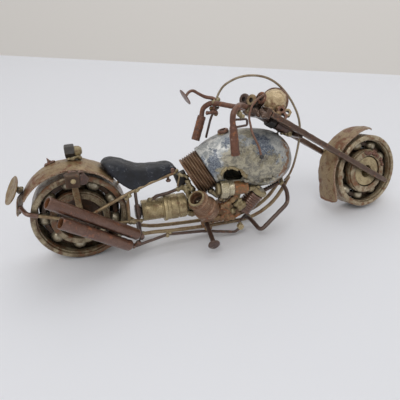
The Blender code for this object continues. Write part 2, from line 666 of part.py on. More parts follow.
def handlebar(axis, yoke):
    side = GRIP_SIDE
    bends = [(-23.6, side, 107.9), (-14.0, side, 109.4), (-9.0, side - 0.2, 110.6),
             (-5.4, side - 2.5, 109.6), (-3.6, 16.5, 107.2), (-2.2, 9.0, 101.2), (-1.2, 3.5, 97.2),
             (-1.2, -3.5, 97.2), (-2.2, -9.0, 101.2), (-4.2, -15.0, 107.6), (-6.6, -side + 2, 111.2),
             (-10.6, -side, 113.0), (-15.0, -side, 111.2), (-25.4, -side, 104.5)]
    bar = rod("handlebar", flowing(bends, 3), 1.5, RUST, axis)
    bpy.context.view_layer.update()
    cope(yoke, bar)
    bore, length = 1.9, 14.6
    profile = [(2.2, length), (2.5, length - 0.4), (2.5, 0), (bore, 0), (bore, length)]
    for name, at, along in (("grip_left", (-12.9, side, 109.35), (-13.5, 0, -2.2)),
                            ("grip_right", (-16.6, -side, 110.15), (-10.4, 0, -6.7))):
        grip = turned(name, profile, RUST, at, along, 16, closed=True, parent=axis)
        bpy.context.view_layer.update()
        cope(grip, bar)
    rod("lever_left", rounded([(-4.6, 17.2, 104.0), (-8.2, 17.6, 105.6), (-12.8, 18.0, 105.0),
                               (-19.0, 18.0, 102.4)], 1.4), 0.65, DARK, axis)
    rod("lever_right", rounded([(-12.4, -18.6, 108.6), (-9.2, -17.6, 102.4), (-11.8, -17.4, 100.6),
                                (-15.4, -18.6, 106.4)], 1.0), 0.55, DARK, axis)
    arm = rod("mirror_arm", flowing([(-1.2, 18.4, 109.2), (-2.6, 20, 113.4), (-2.8, 20, 117.8),
                                     (-2.9, 20, 121.6), (-5.0, 20, 123.6), (-8.0, 20, 124.2)], 3),
              0.9, RUST, axis)
    mirror = turned("mirror", [(0, 0.5), (4.6, 0.3), (5.0, 0), (4.6, -0.3), (0, -0.5)], TAN,
                    (-8.2, 20, 124.3), (-0.88, 0.1, 0.47), 20, parent=axis)
    join(mirror, arm)
    return bar


def instruments(axis):
    """Three small rings on the yoke, and the lamp ahead of them."""
    ring = [(2.9, 0.9), (2.9, -0.9), (1.2, -0.9), (1.2, 0.9)]
    spots = ((3.4, 4.2, 95.8), (3.9, -1.2, 94.8), (7.3, -4.4, 91.6))
    rings = [turned("gauge_rings" if i == 0 else f"gauge_ring_{i}", ring, BRASS, at, (0.25, -0.62, 0.74), 16,
                    closed=True, parent=axis) for i, at in enumerate(spots)]
    bpy.context.view_layer.update()
    edge = Vector((0.95, 0, -0.32)) * 2.0
    post = rod("gauge_post", [Vector(at) + edge for at in spots], 0.8, BRASS, axis)
    join(rings[0], *rings[1:], post)
    lamp = [(0, 0), (5.6, 0), (6.3, -0.6), (6.6, -2.0), (7.4, -4.0), (7.9, -6.0), (7.9, -7.0), (7.2, -7.0),
            (6.4, -5.6), (0, -5.0)]
    turned("headlamp", lamp, TAN, (10.4, -1.2, 82.6), (-0.18, -0.78, 0.60), 24, parent=axis)


def front_wheel(axis):
    hub = bpy.data.objects.new("front_axis", None)
    parts.objects.link(hub)
    hub.parent = axis
    hub.location = Vector((LEG_AHEAD, 0, 0)) * MM
    bearing("front", (FRONT_OUTER_R, FRONT_BORE_R, FRONT_WIDTH, FRONT_PITCH_R, FRONT_BALL_R),
            Vector((-steered(1, 0, 0).z, 0, -steered(0, 0, 1).z)), hub)
    rim, bore = FRONT_BORE_R - GAP, 3.1
    plate = [(rim, 6.2), (rim, -6.2), (bore, -6.2), (bore, -4.6), (rim - 1.2, -4.6), (rim - 1.2, 4.6),
             (bore, 4.6), (bore, 6.2)]
    turned("front_hub_plates", plate, BRASS, (0, 0, 0), (0, -1, 0), 28, closed=True, parent=hub)


def front_fender(axis):
    """It follows the wheel from ahead of the fork round the back, and ends in a point at the top."""
    turn = bpy.data.objects.new("fender_turn", None)
    parts.objects.link(turn)
    turn.parent = axis
    turn.location = Vector((LEG_AHEAD, 0, 0)) * MM
    turn.rotation_euler = (0, math.radians(-90), 0)
    return arched_strip("front_fender", (0, 0, 0), 27.2, 7.5, 0.7, (-64, 90), TAN,
                        lambda t: 1 - max(0.0, (t - 0.74) / 0.27) ** 1.6, turn)


def cables(axis):
    """The big loop from the left bar to the down tube, and the short wire with a ball on its end."""
    loop = [(88.4, 20.4, 78.6), (92.2, 18.0, 84.4), (98.6, 14.0, 88.6), (106.4, 10.6, 89.8),
            (115.4, 9.8, 87.4), (123.2, 9.0, 81.8), (129.4, 6.8, 73.6), (133.6, 4.8, 64.4),
            (134.6, 3.0, 56.0), (133.0, 0.6, 47.6), (129.6, -2.4, 37.6), (125.6, -5.0, 31.6)]
    rod("throttle_cable", flowing(loop, 4), 0.65, BRASS)
    drop = [(-4.8, -9.6, 99.6), (-7.6, -13.0, 98.9), (-11.4, -16.2, 98.0), (-14.9, -18.2, 96.2),
            (-19.4, -20.4, 91.6), (-23.0, -21.6, 88.6)]
    rod("clutch_wire", flowing(drop, 3), 0.6, RUST, axis)


rear_wheel()
rear_fender()
tail()
fender_bracket()
exhaust()
frame()
foot_peg()
gearbox()
engine()
tank()
threaded_rod()
seat()
steering_axis = fork_axes()
head_tube(steering_axis.parent)
upper_yoke = fork(steering_axis)
handlebar(steering_axis, upper_yoke)
instruments(steering_axis)
front_wheel(steering_axis)
front_fender(steering_axis)
cables(steering_axis)
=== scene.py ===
import json
import math

import bmesh
import bpy
import numpy as np
from mathutils import Matrix, Vector, noise

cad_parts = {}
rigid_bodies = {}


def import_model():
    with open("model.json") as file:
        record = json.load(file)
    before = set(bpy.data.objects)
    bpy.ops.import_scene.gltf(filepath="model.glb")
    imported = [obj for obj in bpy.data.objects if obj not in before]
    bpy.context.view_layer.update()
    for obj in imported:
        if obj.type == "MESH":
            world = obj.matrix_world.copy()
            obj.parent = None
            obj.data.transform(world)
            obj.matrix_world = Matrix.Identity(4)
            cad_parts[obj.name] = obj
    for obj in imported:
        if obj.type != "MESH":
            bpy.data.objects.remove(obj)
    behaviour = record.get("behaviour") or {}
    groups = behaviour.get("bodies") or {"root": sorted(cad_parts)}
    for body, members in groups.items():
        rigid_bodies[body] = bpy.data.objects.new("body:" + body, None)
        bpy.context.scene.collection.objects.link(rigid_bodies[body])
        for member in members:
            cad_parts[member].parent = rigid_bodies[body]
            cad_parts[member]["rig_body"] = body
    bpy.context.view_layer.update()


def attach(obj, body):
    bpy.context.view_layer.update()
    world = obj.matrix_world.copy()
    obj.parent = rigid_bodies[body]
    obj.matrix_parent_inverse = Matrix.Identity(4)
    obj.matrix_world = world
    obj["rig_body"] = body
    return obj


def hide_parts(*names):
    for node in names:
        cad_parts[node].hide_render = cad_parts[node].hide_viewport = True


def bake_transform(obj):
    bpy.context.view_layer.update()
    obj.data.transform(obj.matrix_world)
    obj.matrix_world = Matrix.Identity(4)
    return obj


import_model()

MM = 0.001

# noise_vector takes its offsets from the clock unless a seed is set
NOISE_SEED = 1
noise.seed_set(NOISE_SEED)

# Sizes in millimetres, as the CAD has them
REAR_AXLE = Vector((0.0, 0.0, 25.92))
REAR_R, FRONT_R = 25.92, 23.22
REAR_BORE, FRONT_BORE = 12.5, 10.0
REAR_WIDTH, FRONT_WIDTH = 15.0, 14.0
BALLS = 9
SHEET = 0.9
LENS, SENSOR = 37.26, 36.0
CAMERA_AT = Vector((14.04, -210.89, 145.06))
CAMERA_TURN = (14.81, 29.59, -2.01)
RAKE, STEER = math.radians(33.0), math.radians(15.7)
TURN = Matrix.Rotation(RAKE - math.pi / 2, 3, "Y") @ Matrix.Rotation(STEER, 3, "Z")
FORK_AHEAD, FORK_LEFT, FORK_UP = (TURN @ Vector(axis) for axis in ((1, 0, 0), (0, 1, 0), (0, 0, 1)))
FRONT_AXLE = Vector((179.7, 0.2706, 24.029))
PIVOT = FRONT_AXLE - FORK_AHEAD


def at_fork(x, y, z):
    """A point given ahead of, left of and up the fork, in the bike's axes."""
    return PIVOT + FORK_AHEAD * x + FORK_LEFT * y + FORK_UP * z


def on_fork(*points):
    """The same for several points."""
    return [at_fork(*p) for p in points]


def along_fork(x, y, z):
    """A direction given in the same way."""
    return FORK_AHEAD * x + FORK_LEFT * y + FORK_UP * z


# Objects, camera and lights

def in_scene(name, data):
    """A new object that holds the data, linked into the scene."""
    obj = bpy.data.objects.new(name, data)
    bpy.context.scene.collection.objects.link(obj)
    return obj


def camera():
    """The camera that took the photo, from a fit to both wheels."""
    yaw, pitch, roll = (math.radians(a) for a in CAMERA_TURN)
    look = Vector((math.sin(yaw) * math.cos(pitch), math.cos(yaw) * math.cos(pitch), -math.sin(pitch)))
    right = Vector((math.cos(yaw), -math.sin(yaw), 0))
    up = right.cross(look)
    right, up = (right * math.cos(roll) + up * math.sin(roll), up * math.cos(roll) - right * math.sin(roll))
    data = bpy.data.cameras.new("camera")
    data.lens = LENS
    data.sensor_width = SENSOR
    data.clip_start = 0.01
    cam = in_scene("camera", data)
    turn = Matrix((right, up, -look)).transposed().to_4x4()
    cam.matrix_world = Matrix.Translation(CAMERA_AT * MM) @ turn
    bpy.context.scene.camera = cam


def area_light(name, place, aim, size, power, colour):
    data = bpy.data.lights.new(name, "AREA")
    data.shape = "RECTANGLE"
    data.size, data.size_y = size
    data.energy = power
    data.color = colour
    lamp = in_scene(name, data)
    lamp.location = place
    lamp.rotation_euler = (Vector(aim) - Vector(place)).to_track_quat("-Z", "Y").to_euler()


# Materials

def node(tree, kind, inputs=None, **settings):
    made = tree.nodes.new("ShaderNode" + kind)
    for key, value in settings.items():
        setattr(made, key, value)
    for key, value in (inputs or {}).items():
        if isinstance(value, bpy.types.NodeSocket):
            tree.links.new(value, made.inputs[key])
        else:
            made.inputs[key].default_value = value
    return made


def rgba(colour):
    return (*colour, 1.0)


def mixed(tree, share, low, high):
    """A colour mix, as its output socket."""
    mix = node(tree, "Mix", data_type="RGBA")
    for index, value in ((0, share), (6, low), (7, high)):
        if isinstance(value, bpy.types.NodeSocket):
            tree.links.new(value, mix.inputs[index])
        else:
            mix.inputs[index].default_value = value if index == 0 else rgba(value)
    return mix.outputs[2]


def between(tree, value, low, high, to_low=0.0, to_high=1.0):
    """The value mapped smoothly from low..high to to_low..to_high."""
    mapped = node(tree, "MapRange", {0: value, 1: low, 2: high, 3: to_low, 4: to_high},
                  interpolation_type="SMOOTHSTEP")
    return mapped.outputs[0]


def maths(tree, operation, a, b):
    """A sum of two values. Adding and subtracting keep to 0..1."""
    clamp = operation in ("ADD", "SUBTRACT")
    return node(tree, "Math", {0: a, 1: b}, operation=operation, use_clamp=clamp).outputs[0]


def textured(name):
    """A new material, its node tree, its shader and the object's own coordinates."""
    mat = bpy.data.materials.new(name)
    mat.use_nodes = True
    tree = mat.node_tree
    return mat, tree, tree.nodes["Principled BSDF"], node(tree, "TexCoord").outputs["Object"]


def clouds(tree, place, size, detail=6.0, rough=0.6, distort=0.0, shift=(0, 0, 0)):
    """Noise whose blotches are about size millimetres across."""
    moved = node(tree, "Mapping", {"Vector": place, "Location": shift})
    made = node(tree, "TexNoise", {"Vector": moved.outputs[0], "Scale": 1000.0 / size, "Detail": detail,
                                   "Roughness": rough, "Distortion": distort})
    return made.outputs[0]


# Near-black brown, used for the real grime in pits and for painted shade in corners and between parts.
GRIME_AND_SHADE = (0.018, 0.012, 0.008)


def aged(name, clean, film, rust, film_at=0.5, rust_at=0.6, size=1.0, rough=(0.36, 0.7), metallic=0.5,
         bump=0.5, coat=0.25, shine=0.35, edge=None, rim=False):
    """Old metal: a clean colour, a brown film in blotches, rust in patches, grime in pits, and painted
    shade in the corners and between parts.
    film_at and rust_at are the noise levels above which they start; a lower one means more of it.
    edge is the colour of worn edges, and rim says whether the mesh marks where it rusts first."""
    mat, tree, shader, place = textured(name)
    broad = clouds(tree, place, 9.0 * size, 7.0, 0.62, 0.5)
    middle = clouds(tree, place, 2.6 * size, 8.0, 0.68, 0.3, (0.31, 0.17, 0.05))
    fine = clouds(tree, place, 0.55 * size, 5.0, 0.7, 0.0, (0.11, 0.53, 0.27))
    both = maths(tree, "ADD", maths(tree, "MULTIPLY", broad, 0.62), maths(tree, "MULTIPLY", middle, 0.38))
    film_mask = between(tree, both, film_at - 0.07, film_at + 0.09)
    rust_mask = between(tree, maths(tree, "ADD", maths(tree, "MULTIPLY", middle, 0.6),
                                    maths(tree, "MULTIPLY", broad, 0.4)), rust_at - 0.05, rust_at + 0.06)
    pores = node(tree, "TexVoronoi", {"Vector": place, "Scale": 1150.0 / size, "Randomness": 1.0},
                 feature="F1").outputs["Distance"]
    pit = between(tree, pores, 0.04, 0.34, 1.0, 0.0)
    pit = maths(tree, "MULTIPLY", pit, between(tree, middle, 0.44, 0.62))
    if rim:
        rim_mask = node(tree, "Attribute", attribute_name="rim").outputs["Fac"]
        rim_mask = between(tree, maths(tree, "ADD", rim_mask, maths(tree, "MULTIPLY", middle, 0.55)), 0.70,
            0.98)
        rust_mask = maths(tree, "MAXIMUM", rust_mask, rim_mask)
    colour = mixed(tree, film_mask, clean, film)
    colour = mixed(tree, between(tree, fine, 0.3, 0.7, 0.0, 0.5), colour, tuple(c * 0.55 for c in film))
    colour = mixed(tree, rust_mask, colour, rust)
    colour = mixed(tree, maths(tree, "MULTIPLY", pit, 0.75), colour, GRIME_AND_SHADE)
    wear = between(tree, node(tree, "NewGeometry").outputs["Pointiness"], 0.51, 0.60)
    wear = maths(tree, "MULTIPLY", wear, between(tree, fine, 0.36, 0.6))
    if edge is not None:
        colour = mixed(tree, maths(tree, "MULTIPLY", wear, 0.8), colour, edge)
    # Painted shade: the colour goes towards the near-black brown wherever nearby parts close in on a
    # surface.
    shade = node(tree, "AmbientOcclusion", {"Distance": 0.0045}, samples=6).outputs["AO"]
    corner = between(tree, shade, 0.25, 0.85, 0.85, 0.0)
    colour = mixed(tree, corner, colour, GRIME_AND_SHADE)
    tree.links.new(colour, shader.inputs["Base Color"])
    rough_value = between(tree, maths(tree, "ADD", rust_mask, maths(tree, "MULTIPLY", pit, 0.4)), 0.0, 1.0,
        *rough)
    rough_value = maths(tree, "ADD", rough_value, between(tree, fine, 0.3, 0.75, -0.05, 0.12))
    tree.links.new(rough_value, shader.inputs["Roughness"])
    metal = between(tree, maths(tree, "ADD", rust_mask, maths(tree, "MULTIPLY", film_mask, 0.35)), 0.0, 1.0,
                    metallic, 0.05)
    tree.links.new(metal, shader.inputs["Metallic"])
    relief = maths(tree, "ADD", maths(tree, "MULTIPLY", middle, 0.5), maths(tree, "MULTIPLY", fine, 0.28))
    relief = maths(tree, "ADD", relief, maths(tree, "MULTIPLY", rust_mask, 0.12))
    relief = maths(tree, "SUBTRACT", relief, maths(tree, "MULTIPLY", pit, 0.3))
    bumped = node(tree, "Bump", {"Strength": bump, "Distance": 0.0006, "Height": relief})
    tree.links.new(bumped.outputs[0], shader.inputs["Normal"])
    shader.inputs["Coat Weight"].default_value = coat
    shader.inputs["Coat Roughness"].default_value = shine
    return mat


def plain(name, colour, roughness):
    mat = bpy.data.materials.new(name)
    mat.use_nodes = True
    shader = mat.node_tree.nodes["Principled BSDF"]
    shader.inputs["Base Color"].default_value = rgba(colour)
    shader.inputs["Roughness"].default_value = roughness
    return mat


PAINT = {"bearing": aged("bearing_steel", (0.58, 0.49, 0.335), (0.235, 0.155, 0.082), (0.205, 0.078, 0.026),
    film_at=0.49, rust_at=0.548, rough=(0.36, 0.68), edge=(0.48, 0.42, 0.31)),
    # The rear rings take a darker copy of the bearing steel: partly grime, partly painted shade from the
    # fender above them.
    "race": aged("grime_and_shade_bearing_steel", (0.49, 0.41, 0.27), (0.135, 0.085, 0.044), (0.17, 0.062, 0.02),
    film_at=0.465, rust_at=0.545, rough=(0.34, 0.66), edge=(0.48, 0.42, 0.31)),
    "ball": aged("ball_steel", (0.62, 0.56, 0.43), (0.34, 0.27, 0.165), (0.2, 0.095, 0.036), film_at=0.53,
    rust_at=0.64, metallic=0.55, rough=(0.3, 0.6), bump=0.15, coat=0.3, shine=0.25),
    "hub": aged("hub_rust", (0.105, 0.058, 0.03), (0.055, 0.027, 0.013), (0.19, 0.064, 0.02), film_at=0.48,
    rust_at=0.575, metallic=0.4, rough=(0.42, 0.72), edge=(0.33, 0.23, 0.14)),
    "pipe": aged("pipe_rust", (0.195, 0.098, 0.064), (0.12, 0.048, 0.027), (0.255, 0.084, 0.03),
    film_at=0.49, rust_at=0.575, rough=(0.3, 0.66), edge=(0.36, 0.25, 0.2), coat=0.85, shine=0.15,
    bump=0.7), "orange": aged("orange_rust", (0.36, 0.135, 0.042), (0.2, 0.068, 0.022), (0.4, 0.17, 0.055),
    film_at=0.52, rust_at=0.57, metallic=0.1, rough=(0.6, 0.85), bump=0.9, coat=0.0),
    "sheet": aged("sheet_tan", (0.36, 0.258, 0.135), (0.195, 0.112, 0.048), (0.165, 0.054, 0.018),
    film_at=0.515, rust_at=0.55, metallic=0.25, rough=(0.4, 0.68), size=1.5, edge=(0.44, 0.36, 0.25),
    rim=True), "fork": aged("fork_rust", (0.135, 0.076, 0.05), (0.07, 0.032, 0.018), (0.215, 0.076, 0.028),
    film_at=0.48, rust_at=0.58, rough=(0.3, 0.62), edge=(0.42, 0.31, 0.22), coat=0.5, shine=0.25),
    "grip": aged("grip_rust", (0.215, 0.088, 0.05), (0.11, 0.04, 0.022), (0.285, 0.102, 0.035),
    film_at=0.48, rust_at=0.565, metallic=0.35, rough=(0.36, 0.7), edge=(0.42, 0.3, 0.23), bump=0.8,
    coat=0.4), "neck": aged("neck_thread", (0.335, 0.195, 0.112), (0.175, 0.086, 0.045),
    (0.26, 0.088, 0.03), film_at=0.5, rust_at=0.575, metallic=0.4, rough=(0.38, 0.7),
    edge=(0.42, 0.33, 0.23)), "gear": aged("gear_brass", (0.6, 0.485, 0.275), (0.33, 0.245, 0.13),
    (0.235, 0.11, 0.042), film_at=0.515, rust_at=0.585, metallic=0.6, rough=(0.28, 0.62),
    edge=(0.6, 0.5, 0.31)), "nickel": aged("nickel", (0.68, 0.61, 0.45), (0.44, 0.365, 0.21),
    (0.21, 0.105, 0.04), film_at=0.54, rust_at=0.63, metallic=0.6, rough=(0.26, 0.58),
    edge=(0.75, 0.7, 0.55), bump=0.25), "rod": aged("rod_tan", (0.41, 0.305, 0.17), (0.215, 0.138, 0.07),
    (0.24, 0.095, 0.032), film_at=0.49, rust_at=0.565, metallic=0.45, rough=(0.32, 0.66),
    edge=(0.5, 0.41, 0.26)), "dark": aged("dark_rust", (0.115, 0.066, 0.052), (0.06, 0.031, 0.023),
    (0.185, 0.066, 0.028), film_at=0.5, rust_at=0.585, metallic=0.45, rough=(0.32, 0.66),
    edge=(0.33, 0.25, 0.19), coat=0.45, shine=0.28), "black": aged("black_iron", (0.05, 0.047, 0.046),
    (0.03, 0.025, 0.022), (0.105, 0.042, 0.02), film_at=0.5, rust_at=0.6, rough=(0.34, 0.66),
    edge=(0.22, 0.2, 0.17)), "weld": aged("weld_metal", (0.34, 0.205, 0.08), (0.12, 0.054, 0.022),
    (0.4, 0.14, 0.034), film_at=0.5, rust_at=0.535, metallic=0.3, rough=(0.3, 0.64), size=0.9,
    edge=(0.5, 0.4, 0.24), bump=0.8, coat=0.5), "khaki": aged("weld_khaki", (0.4, 0.325, 0.17),
    (0.235, 0.168, 0.078), (0.23, 0.096, 0.032), film_at=0.5, rust_at=0.585, metallic=0.25,
    rough=(0.32, 0.62), size=0.9, edge=(0.52, 0.45, 0.3), bump=0.8, coat=0.5),
    "cable": aged("cable_wire", (0.42, 0.345, 0.24), (0.26, 0.19, 0.12), (0.19, 0.085, 0.038), film_at=0.52,
    rust_at=0.59, metallic=0.45, rough=(0.34, 0.6), bump=0.25), "cream": aged("lamp_cream",
    (0.74, 0.58, 0.34), (0.33, 0.19, 0.09), (0.21, 0.076, 0.028), film_at=0.515, rust_at=0.575,
    metallic=0.15, rough=(0.32, 0.62), edge=(0.66, 0.56, 0.4), bump=0.8, coat=0.5), }


# Mesh builders. They take millimetres, in the bike's axes.

def finish_mesh(name, verts, faces, paint, body, stands_for=(), angle=38.0, rim=None):
    """A piece that rides its body, in place of the CAD nodes that it stands for.
    rim holds a value for each point, which the paint can read."""
    mesh = bpy.data.meshes.new(name)
    mesh.from_pydata((np.asarray(verts, float) * MM).tolist(), [], [list(f) for f in faces])
    bm = bmesh.new()
    bm.from_mesh(mesh)
    if rim is not None:
        layer = bm.verts.layers.float.new("rim")
        bm.verts.ensure_lookup_table()
        for vert, value in zip(bm.verts, rim):
            vert[layer] = float(value)
    bmesh.ops.remove_doubles(bm, verts=bm.verts, dist=1e-7)
    bmesh.ops.dissolve_degenerate(bm, edges=bm.edges, dist=1e-8)
    bmesh.ops.recalc_face_normals(bm, faces=bm.faces)
    bm.to_mesh(mesh)
    bm.free()
    mesh.shade_smooth()
    mesh.set_sharp_from_angle(angle=math.radians(angle))
    mesh.materials.append(PAINT[paint] if isinstance(paint, str) else paint)
    obj = in_scene(name, mesh)
    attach(obj, body)
    if stands_for:
        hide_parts(*([stands_for] if isinstance(stands_for, str) else stands_for))
    return obj


def roughen(verts, amount, size, seed=0.0):
    """Moves each point by smooth noise, so that a surface is a little lumpy, as hammered metal is."""
    moved = np.array(verts, float)
    for i, p in enumerate(moved):
        push = noise.noise_vector(Vector((p[0] / size + seed, p[1] / size - seed, p[2] / size + 2 * seed)))
        moved[i] = p + amount * np.array(push)
    return moved


def baked(obj):
    """The object's mesh as its modifiers leave it."""
    bpy.context.view_layer.update()
    return bpy.data.meshes.new_from_object(obj.evaluated_get(bpy.context.evaluated_depsgraph_get()))


def grid_faces(rows, sides, first=0):
    """The faces between rings of points, each with the given number of sides."""
    faces = []
    for i in range(first, first + (rows - 1) * sides, sides):
        for j in range(sides):
            m = (j + 1) % sides
            faces.append((i + j, i + m, i + sides + m, i + sides + j))
    return faces


def bend_round(before, corner, after, bend, share, steps):
    """The points that round a corner by up to bend, using no more than a share of each side."""
    reach = min(bend, (before - corner).length * share, (after - corner).length * share)
    start = corner + (before - corner).normalized() * reach
    end = corner + (after - corner).normalized() * reach
    return [start.lerp(corner, t).lerp(corner.lerp(end, t), t) for t in (i / steps
        for i in range(steps + 1))]


def softened(profile, ease, close=False):
    """The profile with each corner rounded by ease millimetres."""
    spots = [Vector((r, h)) for r, h in profile]
    count = len(spots)
    out = []
    for i, corner in enumerate(spots):
        before, after = spots[i - 1], spots[(i + 1) % count]
        if not close and i in (0, count - 1) or corner.x < 1e-6:
            out.append(corner)
            continue
        out += bend_round(before, corner, after, ease, 0.45, 3)
    return [(p.x, p.y) for p in out]


def stepped(profile, step, close=False):
    """The profile with points added so that none are more than step apart."""
    spots = list(profile) + ([profile[0]] if close else [])
    out = []
    for (r0, h0), (r1, h1) in zip(spots, spots[1:]):
        parts = max(1, math.ceil(math.hypot(r1 - r0, h1 - h0) / step))
        out += [(r0 + (r1 - r0) * k / parts, h0 + (h1 - h0) * k / parts) for k in range(parts)]
    return out if close else out + [spots[-1]]


def lathe(name, profile, at, along, paint, body, stands_for=(), sides=72, close=False, shape=None,
        ease=0.25, step=1.0, lumps=0.06, lump_size=3.0, seed=0.0, angle=38.0, spin=0.0):
    """A turned piece. The profile holds (radius, height). shape can change radii by angle and height."""
    line = stepped(softened(profile, ease, close=close), step, close) if ease else stepped(profile, step,
        close)
    radius, height = (np.array(column) for column in zip(*line))
    turn = np.linspace(0, 2 * math.pi, sides, endpoint=False) + math.radians(spin)
    grid_r = np.repeat(radius[:, None], sides, 1)
    grid_h = np.repeat(height[:, None], sides, 1)
    grid_t = np.repeat(turn[None, :], len(line), 0)
    if shape:
        grid_r = shape(grid_r, grid_h, grid_t)
    local = np.stack([grid_r * np.cos(grid_t), grid_r * np.sin(grid_t), grid_h], -1).reshape(-1, 3)
    rotation = np.array(Vector(along).to_track_quat("Z", "Y").to_matrix())
    verts = local @ rotation.T + np.array(at)
    if lumps:
        verts = roughen(verts, lumps, lump_size, seed)
        on_axis = np.nonzero(grid_r.reshape(-1) < 1e-6)[0]
        for row in set(on_axis // sides):
            verts[row * sides:(row + 1) * sides] = verts[row * sides]
    rows = len(line)
    faces = []
    for i in range(rows if close else rows - 1):
        k = (i + 1) % rows
        for j in range(sides):
            m = (j + 1) % sides
            faces.append((i * sides + j, k * sides + j, k * sides + m, i * sides + m))
    return finish_mesh(name, verts, faces, paint, body, stands_for, angle)


def helix(low, high, pitch, depth, sharp=1.0):
    """A lathe shape with a real screw thread between two heights, cut inwards from the profile."""
    def shape(radius, height, turn):
        phase = np.mod(height / pitch - turn / (2 * math.pi), 1.0)
        cut = np.abs(2 * phase - 1) ** sharp
        fade = np.clip((height - low) / pitch, 0, 1) * np.clip((high - height) / pitch, 0, 1)
        return np.where(radius > depth * 2.2, radius - depth * cut * np.clip(fade * 2, 0, 1), radius)
    return shape


def hexagonal(across):
    """A lathe shape whose outside is a nut's, with the corners turned off at both ends."""
    def shape(radius, height_grid, turn):
        sector = math.pi / 3
        flat = (across / 2) / np.cos(np.mod(turn, sector) - sector / 2)
        corner = (across / 2) / math.cos(sector / 2)
        top, low = height_grid.max(), height_grid.min()
        edge = np.minimum(top - height_grid, height_grid - low)
        turned_off = corner - 0.07 * across + edge * 1.7
        outside = radius > across * 0.44
        return np.where(outside, np.minimum(flat, turned_off), radius)
    return shape


def nut(name, across, height, at, along, paint, body, stands_for=(), hole=0.0, spin=0.0, seed=0.0):
    """A hexagon nut, or a bolt's head where hole is 0. at is its middle."""
    corner, face, half = across / 2 / math.cos(math.pi / 6), across * 0.43, height / 2
    profile = [(hole, half), (face, half), (corner, half), (corner, -half), (face, -half), (hole, -half)]
    lathe(name, profile, at, along, paint, body, stands_for, sides=96, close=bool(hole), ease=0.12,
          step=height / 14, shape=hexagonal(across), seed=seed, lumps=0.08, spin=spin, angle=28)


def rounded(points, bend):
    """Straight stretches with rounded corners between them."""
    spots = [Vector(p) for p in points]
    route = [spots[0]]
    for before, corner, after in zip(spots, spots[1:], spots[2:]):
        route += bend_round(before, corner, after, bend, 0.48, 6)
    route.append(spots[-1])
    return route


def flowing(points, per_span=8):
    """One smooth curve through the points."""
    spots = [Vector(p) for p in points]
    spots = [spots[0] * 2 - spots[1]] + spots + [spots[-1] * 2 - spots[-2]]
    route = []
    for a, b, c, d in zip(spots, spots[1:], spots[2:], spots[3:]):
        for i in range(per_span):
            t = i / per_span
            route.append(0.5 * (2 * b + (c - a) * t + (2 * a - 5 * b + 4 * c - d) * t ** 2
                                + (3 * b - a - 3 * c + d) * t ** 3))
    route.append(spots[-2])
    return route


def evenly(points, step):
    """The route resampled at even steps."""
    spots = np.array([list(p) for p in points], float)
    gaps = np.linalg.norm(np.diff(spots, axis=0), axis=1)
    run = np.concatenate([[0], np.cumsum(gaps)])
    count = max(2, int(math.ceil(run[-1] / step)) + 1)
    where = np.linspace(0, run[-1], count)
    return np.stack([np.interp(where, run, spots[:, k]) for k in range(3)], 1), where / run[-1]


def sweep(name, points, radius, paint, body, stands_for=(), sides=18, step=0.6, width=None, square=0.0,
        up=(0, 0, 1), lumps=0.1, lump_size=2.2, seed=0.0, dome=0.45):
    """A bar along a route. width is a function of the share along it. square above 0 flattens the sides."""
    route, share = evenly(points, step)
    count = len(route)
    tangents = np.gradient(route, axis=0)
    tangents /= np.linalg.norm(tangents, axis=1)[:, None]
    side = np.cross(np.array(up, float), tangents[0])
    if np.linalg.norm(side) < 1e-3:
        side = np.cross(np.array((1.0, 0, 0)), tangents[0])
    side /= np.linalg.norm(side)
    turns = np.linspace(0, 2 * math.pi, sides, endpoint=False)
    reach = np.ones(sides)
    if square:
        reach = (np.abs(np.cos(turns)) ** square + np.abs(np.sin(turns)) ** square) ** (-1 / square)
    rings = []
    for i in range(count):
        side = side - tangents[i] * side.dot(tangents[i])
        side /= np.linalg.norm(side)
        other = np.cross(tangents[i], side)
        r = radius * (width(share[i]) if width else 1.0)
        ring = route[i] + r * reach[:, None] * (np.cos(turns)[:, None] * side + np.sin(turns)[:, None]
            * other)
        rings.append((ring, route[i], tangents[i], r))
    first, last = rings[0], rings[-1]
    cap = ((0.02, 1.0), (0.55, 0.86), (0.85, 0.5))
    start_caps = [first[1] - first[2] * first[3] * dome * d + (first[0] - first[1]) * s for s, d in cap]
    end_caps = [last[1] + last[2] * last[3] * dome * d + (last[0] - last[1]) * s for s, d in cap[::-1]]
    verts = np.concatenate(start_caps + [ring[0] for ring in rings] + end_caps)
    if lumps:
        verts = roughen(verts, lumps, lump_size, seed)
    rows = len(verts) // sides
    faces = grid_faces(rows, sides)
    faces.append(tuple(range(sides))[::-1])
    faces.append(tuple((rows - 1) * sides + j for j in range(sides)))
    return finish_mesh(name, verts, faces, paint, body, stands_for, 45.0)


def lumpy(name, balls, paint, body, stands_for=(), voxel=0.4, rough=0.3, rough_size=1.6):
    """Weld metal: balls of (x, y, z, radius) or (x, y, z, rx, ry, rz) run together, then roughened."""
    bm = bmesh.new()
    for ball in balls:
        size = ball[3:6] if len(ball) == 6 else (ball[3],) * 3
        spot = Matrix.Translation(Vector(ball[:3]) * MM) @ Matrix.Diagonal((*(Vector(size) * MM), 1))
        bmesh.ops.create_icosphere(bm, subdivisions=3, radius=1, matrix=spot)
    mesh = bpy.data.meshes.new(name + "_raw")
    bm.to_mesh(mesh)
    bm.free()
    raw = in_scene(name + "_raw", mesh)
    remesh = raw.modifiers.new("run", "REMESH")
    remesh.mode = "VOXEL"
    remesh.voxel_size = voxel * MM
    ease = raw.modifiers.new("ease", "SMOOTH")
    ease.iterations = 4
    done = baked(raw)
    verts = np.array([v.co[:] for v in done.vertices]) / MM
    faces = [tuple(p.vertices) for p in done.polygons]
    bpy.data.objects.remove(raw)
    verts = roughen(verts, rough, rough_size)
    verts = roughen(verts, rough * 0.35, rough_size * 0.35, 7)
    finish_mesh(name, verts, faces, paint, body, stands_for, 80)


